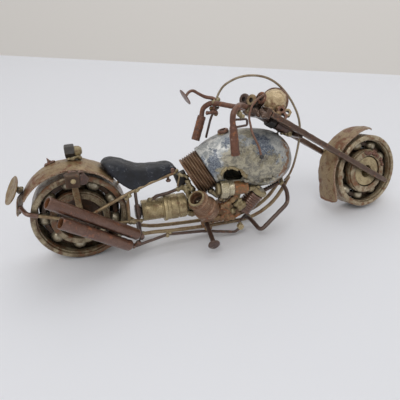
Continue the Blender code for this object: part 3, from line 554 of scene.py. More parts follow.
def bead(points, radius, jitter=0.35, seed=1):
    """Balls for a weld bead along a route."""
    random = np.random.default_rng(seed)
    route = evenly(points, radius * 0.9)[0]
    return [(*(p + random.normal(0, jitter * radius, 3)), radius * random.uniform(0.75, 1.25))
        for p in route]


# Wheels

def race_profile(face_r, shoulder_r, pitch_r, groove_r, width):
    """A bearing ring's section, with its ball groove and the fine step where a seal once sat."""
    half = width / 2
    outer = face_r > shoulder_r
    reach = math.sqrt(groove_r ** 2 - (shoulder_r - pitch_r) ** 2)
    groove = []
    for i in range(13):
        h = reach * (1 - i / 6)
        depth = math.sqrt(groove_r ** 2 - h ** 2)
        groove.append((pitch_r + depth if outer else pitch_r - depth, h))
    if outer:
        step = [(shoulder_r, half - 1.5), (shoulder_r + 0.7, half - 1.5), (shoulder_r + 0.7, half)]
        low = [(r, -h) for r, h in step[::-1]]
        return ([(face_r, half - 0.8), (face_r, 0.8 - half), (face_r - 0.8, -half)] + low
                + [(r, -h) for r, h in groove] + step + [(face_r - 0.8, half)])
    step = [(shoulder_r - 0.6, half), (shoulder_r - 0.6, half - 1.5), (shoulder_r, half - 1.5)]
    return step + groove + [(r, -h) for r, h in step[::-1]] + [(face_r, -half), (face_r, half)]


def balls_and_cage(name, pitch_r, ball_r, at, along, body, node_name):
    """The balls, and the steel ribbon that keeps them apart."""
    rotation = np.array(Vector(along).to_track_quat("Z", "Y").to_matrix())
    verts, faces = [], []
    rows, sides = 18, 32
    for b in range(BALLS):
        turn = 2 * math.pi * (b + 0.5) / BALLS
        centre = np.array((math.cos(turn), math.sin(turn), 0)) * pitch_r
        base = len(verts)
        for i in range(rows + 1):
            lat = math.pi * i / rows - math.pi / 2
            for j in range(sides):
                lon = 2 * math.pi * j / sides
                spot = np.array((math.cos(lat) * math.cos(lon), math.cos(lat) * math.sin(lon),
                    math.sin(lat)))
                verts.append(centre + ball_r * spot)
        faces += grid_faces(rows + 1, sides, base)
    verts = np.array(verts) @ rotation.T + np.array(at)
    finish_mesh(name + "_balls", verts, faces, "ball", body, node_name, 60)

    half_w, half_h = 1.3, 1.0
    ring = [(pitch_r + half_w, half_h), (pitch_r + half_w, -half_h), (pitch_r - half_w, -half_h),
            (pitch_r - half_w, half_h)]
    lathe(name + "_cage", ring, at, along, "hub", body, sides=144, close=True, ease=0.3, step=0.6,
        lumps=0.12, lump_size=2.0, seed=4)


def wheel(prefix, outer_r, bore_r, width, pitch_r, ball_r, at, along, paint, spin_body, cage_body,
        held_body):
    """A ball bearing whose outer ring turns, whose inner ring is held and whose cage follows."""
    groove_r, shoulder = ball_r + 0.3, 0.80 * ball_r
    for ring, face_r, shoulder_r, body, sides, seed in (("_outer_ring", outer_r, pitch_r + shoulder,
            spin_body, 160, 1), ("_inner_ring", bore_r, pitch_r - shoulder, held_body, 120, 2)):
        lathe(prefix + ring + "_worn", race_profile(face_r, shoulder_r, pitch_r, groove_r, width), at,
            along, paint, body, prefix + ring, sides=sides, close=True, ease=0.18, step=1.1, lumps=0.05,
            lump_size=5.0, seed=seed)
    balls_and_cage(prefix, pitch_r, ball_r, at, along, cage_body, prefix + "_ball_cage")
    reach, back = shoulder - 0.35, ball_r + 0.5
    shield = [(pitch_r + reach, -back), (pitch_r + reach, -back - 0.9), (pitch_r - reach, -back - 0.9),
              (pitch_r - reach, -back)]
    lathe(prefix + "_shield", shield, at, along, "hub", spin_body, sides=96, close=True, ease=0.2,
        lumps=0.15, seed=6)


def wheels():
    wheel("rear", REAR_R, REAR_BORE, REAR_WIDTH, 19.25, 3.9, REAR_AXLE, (0, -1, 0), "race", "rear_wheel",
        "rear_balls", "frame")
    wheel("front", FRONT_R, FRONT_BORE, FRONT_WIDTH, 16.9, 3.5, FRONT_AXLE, -FORK_LEFT, "bearing",
        "front_wheel", "front_balls", "steering")
    plug = [(0, 8.6), (3.0, 8.6), (3.4, 8.0), (3.4, 3.2), (7.6, 2.9), (10.4, 3.6), (10.7, 5.0), (12.2, 5.0),
            (12.2, -5.0), (3.4, -5.0), (3.4, -8.0), (3.0, -8.6), (0, -8.6)]
    lathe("rear_hub", plug, REAR_AXLE, (0, -1, 0), "hub", "frame", "rear_hub_plug", sides=96, lumps=0.12,
        lump_size=3.5)
    rim, bore = 9.7, 3.7
    plates = [(bore, 4.8), (bore, 6.0), (bore + 0.4, 6.3), (rim - 0.5, 6.4), (rim, 6.0), (rim, -6.0),
        (rim - 0.5, -6.4), (bore + 0.4, -6.3), (bore, -6.0), (bore, -4.8), (rim - 1.4, -4.4),
        (rim - 1.4, 4.4)]
    lathe("front_hub", plates, FRONT_AXLE, -FORK_LEFT, "gear", "steering", "front_hub_plates", sides=84,
        close=True, lumps=0.1, lump_size=3.0)
    crust = [FRONT_AXLE + along_fork(r * math.cos(a), -6.7, r * math.sin(a))
             for r, a in ((12.2 + 0.4 * math.sin(3 * k), math.radians(6.5 * k - 44)) for k in range(14))]
    lumpy("front_hub_crust", bead(crust, 1.15, jitter=0.5, seed=80), "grip", "steering", voxel=0.3,
        rough=0.35)


# Sheet metal

def strip(name, centre, radius, half, crown, angles, body, stands_for, seed, to_world=None, width=None,
        flare=None):
    """A bent strip of sheet with a ragged edge, whose seed picks the dents. to_world turns the arc's own
    (ahead, side, up) into the bike's axes. Where width narrows it, the near edge is the one cut back."""
    long_steps, cross_steps = 110, 18
    upper, lower, rim = [], [], []
    for i in range(long_steps + 1):
        t = i / long_steps
        angle = math.radians(angles[0] + (angles[1] - angles[0]) * t)
        wide = half * (width(t) if width else 1.0)
        for j in range(cross_steps + 1):
            s = 2 * j / cross_steps - 1
            ragged = 1 + 0.05 * noise.noise(Vector((t * 22, s * 1.5, seed))) * abs(s) ** 3
            dent = 0.35 * noise.noise(Vector((t * 7, s * 2.2, seed + 3)))
            r = radius - crown * s * s + dent + (flare(t) if flare else 0.0)
            ahead, up = math.cos(angle), math.sin(angle)
            base = Vector((centre[0], 0, centre[1]))
            across = s * wide * ragged + 0.7 * (half - wide)
            for store, out in ((upper, SHEET), (lower, 0.0)):
                spot = base + Vector((ahead * (r + out), across, up * (r + out)))
                store.append(to_world(spot) if to_world else spot)
            ends = max(0.0, 1 - min(t, 1 - t) * (long_steps / 4.5))
            rim.append(min(1.0, max(abs(s) ** 7, ends)))
    verts = [list(p) for p in upper] + [list(p) for p in lower]
    total, row = len(upper), cross_steps + 1
    faces = []
    for i in range(long_steps):
        for j in range(cross_steps):
            a, b, c, d = i * row + j, i * row + j + 1, (i + 1) * row + j + 1, (i + 1) * row + j
            faces += [(a, b, c, d), (total + d, total + c, total + b, total + a)]
        for j in (0, cross_steps):
            a, d = i * row + j, (i + 1) * row + j
            faces.append((a, d, total + d, total + a))
    for i in (0, long_steps):
        for j in range(cross_steps):
            a, b = i * row + j, i * row + j + 1
            faces.append((a, b, total + b, total + a))
    finish_mesh(name, verts, faces, "sheet", body, stands_for, 50, rim=rim + rim)


def fender_tip(t):
    """A little wider at its low end, full width most of the way, then drawn in to a blunt point."""
    low_end = 1 + 0.10 * max(0.0, (0.14 - t) / 0.14) - 0.22 * max(0.0, (0.022 - t) / 0.022) ** 2
    return max(0.0, 1 - max(0.0, (t - 0.66) / 0.40) ** 2.0) * low_end


def fenders():
    strip("rear_mudguard", (-1.5, 26.5), 29.3, 8.4, 0.8, (42, 148), "frame", "rear_fender", 2.0)
    strip("front_mudguard", (0, 0), 27.3, 7.6, 0.7, (-64, 83), "steering", "front_fender", 9.0,
          lambda p: FRONT_AXLE + along_fork(p.z, p.y, p.x), fender_tip,
          lambda t: 3.0 * max(0.0, (0.14 - t) / 0.14) ** 1.3)


def block(name, size, at, turn, paint, body, stands_for=(), ease=0.4, cuts=8, lumps=0.1, lump_size=2.5,
        warp=None):
    """A bar or plate with rounded edges. turn is its rotation, and warp reshapes its own coordinates."""
    bm = bmesh.new()
    bmesh.ops.create_cube(bm, size=2)
    bmesh.ops.subdivide_edges(bm, edges=bm.edges, cuts=cuts, use_grid_fill=True)
    half = Vector(size) / 2
    verts = []
    for vert in bm.verts:
        spot = Vector([math.copysign(abs(c) ** 0.6, c) * h for c, h in zip(vert.co, half)])
        inner = Vector([max(ease - h, min(h - ease, c)) for c, h in zip(spot, half)])
        out = spot - inner
        spot = inner + out.normalized() * ease if out.length > 1e-9 else spot
        spot = warp(spot) if warp else spot
        verts.append(list(Vector(at) + turn @ spot))
    faces = [[v.index for v in f.verts] for f in bm.faces]
    bm.free()
    finish_mesh(name, roughen(verts, lumps, lump_size), faces, paint, body, stands_for, 40.0)


def facing(along):
    return Vector(along).to_track_quat("Z", "Y").to_matrix()


# Rear end

def rear_end():
    top = 61.0
    nut("fender_bolt_head", 6.6, 5.0, (0.4, 5.2, top), (1, 0, 0), "black", "frame", "fender_bolt", spin=30)
    lathe("fender_bolt_cap", [(0, 3.2), (1.6, 2.9), (2.5, 1.7), (2.8, 0), (2.8, -1.4), (0, -1.4)],
        (3.7, 5.2, top - 0.3), (1, 0, 0), "khaki", "frame", sides=40, lumps=0.15, lump_size=1.5)
    lumpy("fender_bolt_weld", bead([(-1.5, 3.8, 57.5), (1.6, 3.4, 57.8), (5.2, 4.0, 57.3)], 1.1, seed=3)
          + bead([(-1.2, 6.6, 57.3), (4.6, 6.8, 57.1)], 1.0, seed=4), "khaki", "frame")
    lumpy("fender_burr", bead([(-13.4, 6.6, 54.2), (-11.0, 6.6, 55.2), (-8.6, 6.6, 56.0)], 0.9, jitter=0.1,
        seed=7) + [(-11.2, 6.7, 56.3, 0.95), (-11.6, 6.8, 57.3, 0.6), (-11.9, 6.8, 58.1, 0.35)], "pipe",
        "frame", voxel=0.25, rough=0.15)
    block("bracket_cube", (7.4, 5.2, 7.4), (0.2, -11.8, 52.0), Matrix.Rotation(math.radians(4), 3, "Y"),
        "hub", "frame", "bracket_nut", ease=1.0)
    lathe("bracket_stud", [(0, 3.1), (1.1, 3.1), (1.4, 2.7), (1.4, 0), (0, 0)], (0.4, -11.8, 52.2),
        (0.05, -1, 0.05), "gear", "frame", sides=24)
    nut("bracket_side_nut", 5.4, 3.8, (4.8, -11.4, 51.8), (0.25, -1, 0.1), "dark", "frame", spin=12)
    lumpy("bracket_weld", bead([(-2.8, -9.6, 54.6), (0.5, -9.4, 55.2), (5.2, -9.6, 54.9)], 0.9, seed=5)
          + bead([(0.2, -10.4, 48.0), (1.6, -10.3, 48.1)], 0.9, seed=6), "pipe", "frame")
    block("hub_strap_bar", (3.3, 1.4, 20.6), (0.6, -10.0, 38.5), Matrix.Rotation(math.radians(-1.5), 3,
        "Y"), "rod", "frame", "hub_strap", lumps=0.15)
    lathe("tail_dish", [(0, 0.5), (3.0, 0.6), (6.6, 0.1), (7.8, -0.5), (8.0, -0.9), (7.6, -1.1),
        (5.5, -0.5), (0, -0.2)], (-31.2, 0, 45.2), (0.82, 0.20, -0.54), "sheet", "frame", "tail_disc",
        sides=80, lumps=0.25, lump_size=4)
    sweep("tail_post", [(-30.8, 0, 45.4), (-28.6, 0, 46.2), (-26.6, 0, 45.0)], 1.2, "khaki", "frame")
    lumpy("tail_weld", bead([(-27.6, -1.2, 46.0), (-27.2, 1.6, 45.4), (-28.4, 0.2, 44.0)], 1.0, seed=8),
        "khaki", "frame", voxel=0.3)

    def leaf(p):
        return Vector((p.x * (1.0 - 0.62 * max(0.0, (-p.y - 1) / 5.7) ** 1.4), p.y,
            p.z + 0.05 * p.x * p.x * 0.4))

    block("tail_leaf", (8.6, 13.4, 0.8), (-30.1, 0, 36.6), facing((0.91, -0.29, -0.3)), "sheet", "frame",
        "tail_plate", ease=0.3, warp=leaf, lumps=0.25, lump_size=4)
    stay = rounded([(-28.9, -3.6, 36.2), (-25.8, -9.4, 35.0), (-12.0, -9.5, 30.2), (-4.2, -9.7, 27.4)], 1.4)
    sweep("tail_stay_rod", stay, 0.95, "rod", "frame", "tail_stay", seed=2)
    sweep("tail_stay_sleeve", rounded([(-29.2, -3.2, 36.3), (-26.0, -9.2, 35.1), (-20.8, -9.45, 33.2)],
        1.4), 1.25, "pipe", "frame", seed=3)
    lumpy("tail_stay_nut", bead([(-29.3, -3.4, 37.2), (-29.0, -3.0, 35.4), (-29.4, -4.2, 36.2)], 1.0,
        seed=9), "pipe", "frame", voxel=0.3)


def exhaust():
    for name, back, front, seed in (("upper", (-12.5, -25.8, 48.7), (29.7, -14.4, 13.6), 1.0),
                                    ("lower", (-8.2, -29.2, 38.5), (24.3, -18.0, 9.7), 2.0)):
        axis = Vector(back) - Vector(front)
        length = axis.length
        profile = [(0, 4), (2.45, 4), (2.5, length), (3.0, length + 0.1), (3.2, length - 0.5),
            (3.15, length * 0.5), (3.2, 1.4), (2.2, 0), (0, 0)]
        lathe("muffler_" + name + "_pipe", profile, front, axis, "pipe", "frame", "muffler_" + name,
            sides=64, lumps=0.16, lump_size=3.2, seed=seed)
        scale = [(2.2, length - 12), (2.5, length - 12), (2.55, length - 0.3), (2.35, length - 0.3)]
        lathe("muffler_" + name + "_scale", scale, front, axis, "orange", "frame", sides=56, close=True,
            ease=0.05, lumps=0.12, lump_size=1.4, seed=seed)
    lumpy("muffler_welds", bead([(29.6, -14.6, 13.4), (31.0, -13.2, 11.6), (30.6, -12.0, 10.2)], 1.5,
        seed=11) + bead([(24.0, -18.0, 9.6), (26.4, -17.0, 8.6), (28.4, -15.4, 9.6)], 1.4, seed=12)
        + bead([(10, -20.4, 26.6), (16, -18.6, 21.4), (22, -16.8, 16.4)], 0.55, seed=13), "pipe", "frame")
    route = rounded([(25.3, -17.2, 8.2), (46.2, -14.4, 10.6), (68.0, -13.2, 7.4), (87.6, -13.6, 2.9),
        (91.2, -12.8, 4.6), (91.0, -11.5, 8.2), (96.6, -7.4, 10.0)], 1.6)
    sweep("header_bar", route, 0.85, "dark", "frame", "header_pipe", seed=5)
    nut("header_small_nut", 3.6, 2.4, (91.0, -13.4, 6.2), (0.1, -1, 0.1), "gear", "frame")
    lumpy("header_welds", bead([(45.4, -14.3, 10.6), (48.0, -14.2, 10.2)], 1.1, seed=14)
          + bead([(90.4, -12.8, 4.4), (91.6, -12.4, 7.6)], 0.8, seed=15), "khaki", "frame", voxel=0.3)


def frame_bars():
    for name, side in (("right", -1), ("left", 1)):
        y = side * 3.6
        lower = flowing([(31.0, side * 5.4, 8.0), (40, y, 6.6), (52, y, 5.4), (72, y, 4.4), (96, y, 4.4),
                         (106.5, y, 6.8), (115.5, y, 12.8), (121.5, y, 20.5), (126.0, y, 29.6)])
        sweep("lower_bar_" + name, lower, 1.15, "rod", "frame", "lower_rail_" + name, seed=side * 2.0)
        rail = [(3.4, side * 9.8, 27.6), (8.1, side * 9.8, 29.9), (23.6, side * 9.5, 36.7),
            (31.0, side * 8.5, 39.2), (40, side * 7, 41.5), (54.6, side * 4.2, 44.0)]
        sweep("seat_bar_" + name, rounded(rail, 1.5), 0.95, "rod", "frame", "seat_rail_" + name,
            seed=side * 3.0)
        lumpy("hub_weld_" + name, bead([(2.0, side * 9.4, 27.0), (4.4, side * 9.8, 27.8)], 1.2, seed=20)
            + bead([(3.0, side * 9.4, 24.6), (5.6, side * 9.8, 24.6)], 1.1, seed=21), "pipe", "frame",
            voxel=0.3)
    sweep("seat_post_front_bar", [(31.0, -8.0, 38.0), (31.2, -8.0, 20.0), (31.4, -6.8, 9.0)], 0.9, "dark",
        "frame", "seat_posts", seed=6)
    sweep("seat_post_rear_bar", [(26.4, -9.0, 36.6), (25.8, -8.9, 19.0)], 0.9, "rod", "frame", seed=7)
    sweep("swing_bar_right", rounded([(4.6, -9.9, 24.4), (20.6, -9.7, 20.8), (32.0, -8.0, 19.4)], 2.0), 0.9,
        "rod", "frame", seed=8)
    sweep("swing_bar_left", rounded([(4.6, 9.9, 24.4), (20.6, 9.8, 18.6), (31.2, 6.6, 9.2)], 2.0), 0.9,
        "rod", "frame", "swing_arm_left", seed=9)
    sweep("cross_bar", [(31.4, -6.8, 8.4), (31.0, 0, 7.2), (31.2, 6.6, 8.6)], 0.9, "dark", "frame", seed=10)
    lumpy("frame_welds", bead([(26.4, -9.2, 35.8), (27.2, -9.2, 37.4)], 1.2, seed=22)
        + bead([(31.0, -8.4, 38.2), (32.4, -8.2, 39.0)], 1.2, seed=23)
        + bead([(25.9, -9.2, 19.8), (27.8, -9.1, 19.6)], 1.2, seed=24)
        + bead([(31.2, -7.9, 19.4), (31.2, -7.8, 18.2)], 1.2, seed=25)
        + bead([(31.3, -6.6, 9.0), (32.4, -5.0, 8.0)], 1.4, seed=26)
        + bead([(31.3, 6.2, 9.0), (32.2, 5.2, 8.0)], 1.4, seed=27) + bead([(54.0, -4.0, 44.0),
        (55.8, -2.0, 43.6)], 1.1, seed=28), "khaki", "frame", voxel=0.3)
    crash = rounded([(120.4, -5.2, 27.4), (121.6, -11.0, 24.4), (119.3, -18.0, 20.0), (101.0, -21.4, 5.9),
                     (98.3, -9.4, 8.6), (97.6, -4.6, 6.6)], 3.2)
    sweep("crash_bar_rod", crash, 1.25, "dark", "frame", "crash_bar", sides=24, seed=11)
    lumpy("crash_bar_welds", bead([(121.0, -3.8, 28.6), (120.0, -5.8, 27.2)], 1.5, seed=29)
          + bead([(97.4, -4.4, 6.4), (98.4, -6.4, 7.6)], 1.4, seed=30), "khaki", "frame", voxel=0.3)
    sweep("tank_strut", [(40.6, -0.6, 26.6), (43.4, -0.6, 29.0), (50.5, -0.6, 29.8), (57.8, -1.6, 32.4)],
        1.0, "dark", "frame", "top_rod", seed=12)
    lumpy("neck_welds", bead([(40.0, -0.6, 26.6), (42.4, -0.8, 27.8)], 1.2, seed=35)
        + bead([(57.2, -1.8, 32.4), (59.8, -3.0, 33.2), (62.0, -4.4, 31.4), (62.6, -5.0, 28.2)], 1.7,
        jitter=0.5, seed=36) + bead([(61.0, -4.6, 38.6), (62.2, -6.6, 35.8), (64.4, -8.0, 33.0),
        (66.4, -8.6, 29.8)], 1.5, jitter=0.5, seed=37) + bead([(56.0, -4.2, 42.6), (59.4, -5.2, 42.0),
        (62.4, -6.0, 41.0)], 0.9, jitter=0.4, seed=38), "khaki", "frame", rough=0.4)
    length, shank = 16.4, 1.35
    peg = [(0, length + 1.1), (2.4, length + 1.0), (3.5, length + 0.2), (3.4, length - 0.3),
        (1.9, length - 0.7), (shank, length - 1.6), (shank, -2.0), (0, -2.0)]
    lathe("foot_peg_nail", peg, (70.4, -12.0, 10.8), (-0.04, -0.97, -0.21), "dark", "frame", "foot_peg",
        sides=48, lumps=0.15, lump_size=1.8)
    lumpy("foot_peg_weld", bead([(70.6, -10.0, 11.4), (70.8, -6.0, 10.2), (70.6, -4.0, 6.4)], 1.7, seed=31)
          + bead([(72.0, -12.6, 8.2), (70.0, -12.8, 9.4)], 1.3, seed=32), "weld", "frame")
    stud, tip = Vector((106.0, -5.2, 22.4)), Vector((119.0, -5.2, 27.4))
    lathe("threaded_stud_bar", [(0, 13.6), (1.4, 13.5), (1.5, 13.2), (1.5, 0.2), (0, 0)], stud, tip - stud,
        "dark", "frame", "threaded_stud", sides=40, step=0.16, shape=helix(0.4, 13.2, 1.5, 0.42),
        lumps=0.03)


def gearbox():
    start, along = Vector((30.2, 0, 20.6)), Vector((1, 0, -0.02))
    lathe("gearbox_long_bolt", [(0, 41.0), (2.3, 41.0), (2.6, 40.6), (2.6, 3.2), (4.2, 3.2), (4.2, 0.5),
        (3.7, 0), (0, 0)], start, along, "dark", "frame", "gearbox_bolt", sides=48, step=0.4,
        shape=helix(4, 40, 1.0, 0.18))
    shell = [(3.2, 30.4), (6.7, 30.4), (7.3, 29.8), (7.3, 26.0), (6.9, 25.5), (6.9, 25.1), (7.5, 24.8),
        (7.5, 21.4), (7.25, 21.2), (7.25, 20.9), (7.5, 20.7), (7.5, 18.7), (8.0, 18.5), (8.0, 16.7),
        (6.5, 16.4), (6.3, 16.0), (6.3, 4.4), (5.9, 3.9), (3.2, 3.9)]
    lathe("gearbox_fittings", shell, start, along, "gear", "frame", "gearbox_body", sides=110, close=True,
        ease=0.2, step=0.22, shape=helix(4.2, 16.2, 0.85, 0.28), lumps=0.07)
    nut("gearbox_end_nut", 9.6, 4.2, start + along * 33.2, along, "gear", "frame", spin=8)
    lumpy("gearbox_weld", bead([(62.6, -3.8, 23.4), (65.0, -4.6, 22.0), (67.5, -4.4, 18.6)], 1.5, seed=33)
          + bead([(60.8, -5.0, 16.0), (64.6, -4.0, 15.4)], 1.3, seed=34), "khaki", "frame")


def engine():
    base, top = Vector((71.4, -13.0, 20.3)), Vector((62.8, -18.0, 33.4))
    axis, length = top - base, (top - base).length
    profile = [(0, length - 6.4), (3.5, length - 6.2), (3.7, length - 0.3), (3.9, length), (4.5, length),
        (4.9, length - 0.5), (4.9, length - 2.2), (6.0, length - 2.5), (6.0, 6.6), (6.9, 6.2), (7.2, 5.6),
        (7.2, 1.2), (6.6, 0), (0, 0)]
    lathe("rear_cylinder_fitting", profile, base, axis, "neck", "frame", "rear_cylinder", sides=110,
        ease=0.2, step=0.22, shape=helix(6.6, length - 2.6, 1.35, 0.5), lumps=0.08)
    ring = [(3.8, 0.5), (4.8, 0.5), (5.0, 0.1), (4.9, -0.6), (3.8, -0.6)]
    lathe("rear_cylinder_rim", ring, top - axis.normalized() * 0.3, axis, "khaki", "frame", sides=80,
        close=True, lumps=0.1)
    deep = top - axis.normalized() * 5.0
    lumpy("rear_cylinder_swarf", [(*(deep + Vector(d)), r) for d, r in (((-1.5, -0.5, 0.8), 0.9),
        ((0.9, -0.6, -0.4), 0.75), ((1.4, 0.6, 0.9), 0.8), ((-0.3, -1.2, -1.0), 0.7),
        ((-1.7, 0.4, -0.4), 0.7), ((0.0, 0.0, 0.2), 0.9))], "nickel", "frame", voxel=0.22, rough=0.2,
        rough_size=1.0)
    base, tip = Vector((93.6, -9.0, 15.4)), Vector((101.8, -10.5, 26.2))
    axis, length = tip - base, (tip - base).length
    lathe("front_cylinder_bolt", [(0, length), (4.6, length), (5.2, length - 0.6), (5.2, 0.6), (4.6, 0),
        (0, 0)], base, axis, "pipe", "frame", "front_cylinder", sides=110, step=0.22,
        shape=helix(0.6, length - 0.4, 1.55, 0.55), lumps=0.08)
    nut("front_cylinder_hex", 9.6, 3.0, tip + axis.normalized() * 1.9, axis, "khaki", "frame",
        "front_cylinder_nut", spin=10)
    start, end = Vector((77.6, -13.0, 34.0)), Vector((95.0, -14.2, 33.0))
    axis = (end - start).normalized()
    lathe("carburettor_rust_barrel", [(0, 17.0), (3.3, 17.0), (4.0, 16.4), (3.95, 12.5), (4.0, 9.4),
        (3.4, 8.2), (0, 8.2)], start, axis, "weld", "frame", "carburettor_barrel", sides=60, lumps=0.2,
        lump_size=2.0)
    nut("carburettor_hex", 9.6, 4.6, start + axis * 2.9, axis, "nickel", "frame", "carburettor_nut",
        spin=15)
    collar = [(0, 2.0), (3.9, 2.0), (4.5, 1.6), (4.5, -2.0), (0, -2.0)]
    lathe("carburettor_collar", collar, start + axis * 6.6, axis, "nickel", "frame", sides=72, step=0.2,
          shape=helix(-1.8, 1.9, 0.8, 0.25), lumps=0.05)
    lathe("carburettor_back", [(0, 0.9), (3.0, 0.9), (3.6, 0.3), (3.6, -1.4), (0, -1.4)], start, axis,
        "khaki", "frame", sides=48, lumps=0.15)
    lumpy("engine_lump_weld", [(76.5, -5.2, 15.6, 6.6, 5.6, 6.0), (84.0, -6.4, 17.6, 7.0, 6.2, 7.2),
        (91.0, -4.8, 14.6, 6.4, 5.6, 5.8)] + bead([(74, -9.5, 14), (80, -10.5, 13), (87, -10.4, 12.6),
        (92.5, -8.6, 12.4)], 2.1, seed=40) + bead([(78, -10.6, 21), (84, -12.2, 24), (88.5, -12.6, 27.5)],
        1.9, seed=41) + bead([(72, -7, 9.6), (80, -5, 8.4), (92, -4.4, 8.8)], 1.7, jitter=0.6, seed=42),
        "weld", "frame", "engine_block", voxel=0.42, rough=0.55, rough_size=2.2)
    lumpy("engine_brazing", bead([(88.2, -12.4, 29.0), (91.2, -12.8, 24.6), (90.6, -12.4, 20.0),
        (86.8, -12.2, 16.6)], 1.8, jitter=0.5, seed=43) + bead([(95.5, -13.0, 31.0), (98.6, -12.4, 30.4),
        (102.4, -11.0, 31.2)], 1.6, jitter=0.5, seed=44) + bead([(74, -9, 31.4), (77.5, -11.0, 29.6),
        (80.0, -11.6, 27.0)], 1.5, jitter=0.5, seed=45), "khaki", "frame", rough=0.4)


# Tank

ROUTE = [(76.0, 42.9, 13.0), (77.4, 43.5, 13.8), (82.0, 44.8, 15.0), (88.0, 45.7, 16.2), (95.0, 45.6, 17.0),
    (102.0, 44.6, 17.2), (109.0, 43.2, 17.0), (115.0, 41.8, 15.6), (120.0, 40.6, 12.6), (123.6, 39.7, 9.0),
    (126.0, 39.2, 4.6), (126.8, 39.0, 1.2)]


def tank_spot(share, turn, inset=0.0):
    """A point on the tank. share runs from its open end to its nose, and turn goes round it from the top
    to the left."""
    line = flowing([(x, r, z) for x, z, r in ROUTE], 6)
    where = min(max(share, 0.0), 1.0) * (len(line) - 1)
    i = min(int(where), len(line) - 2)
    spot = line[i].lerp(line[i + 1], where - i)
    before, after = line[max(i - 2, 0)], line[min(i + 3, len(line) - 1)]
    ahead = Vector((after.x - before.x, 0, after.z - before.z)).normalized()
    up = Vector((-ahead.z, 0, ahead.x))
    radius = max(spot.y - inset, 0.4)
    return Vector((spot.x, 0, spot.z)) + (up * math.cos(turn) + Vector((0, 1, 0)) * math.sin(turn)) * radius


def tank_side(x, z):
    """The point of the tank's right side at that x and z."""
    knots = np.array(ROUTE)
    middle, radius = (np.interp(x, knots[:, 0], knots[:, i]) for i in (1, 2))
    return Vector((x, -math.sqrt(max(radius ** 2 - (z - middle) ** 2, 1.0)), z))


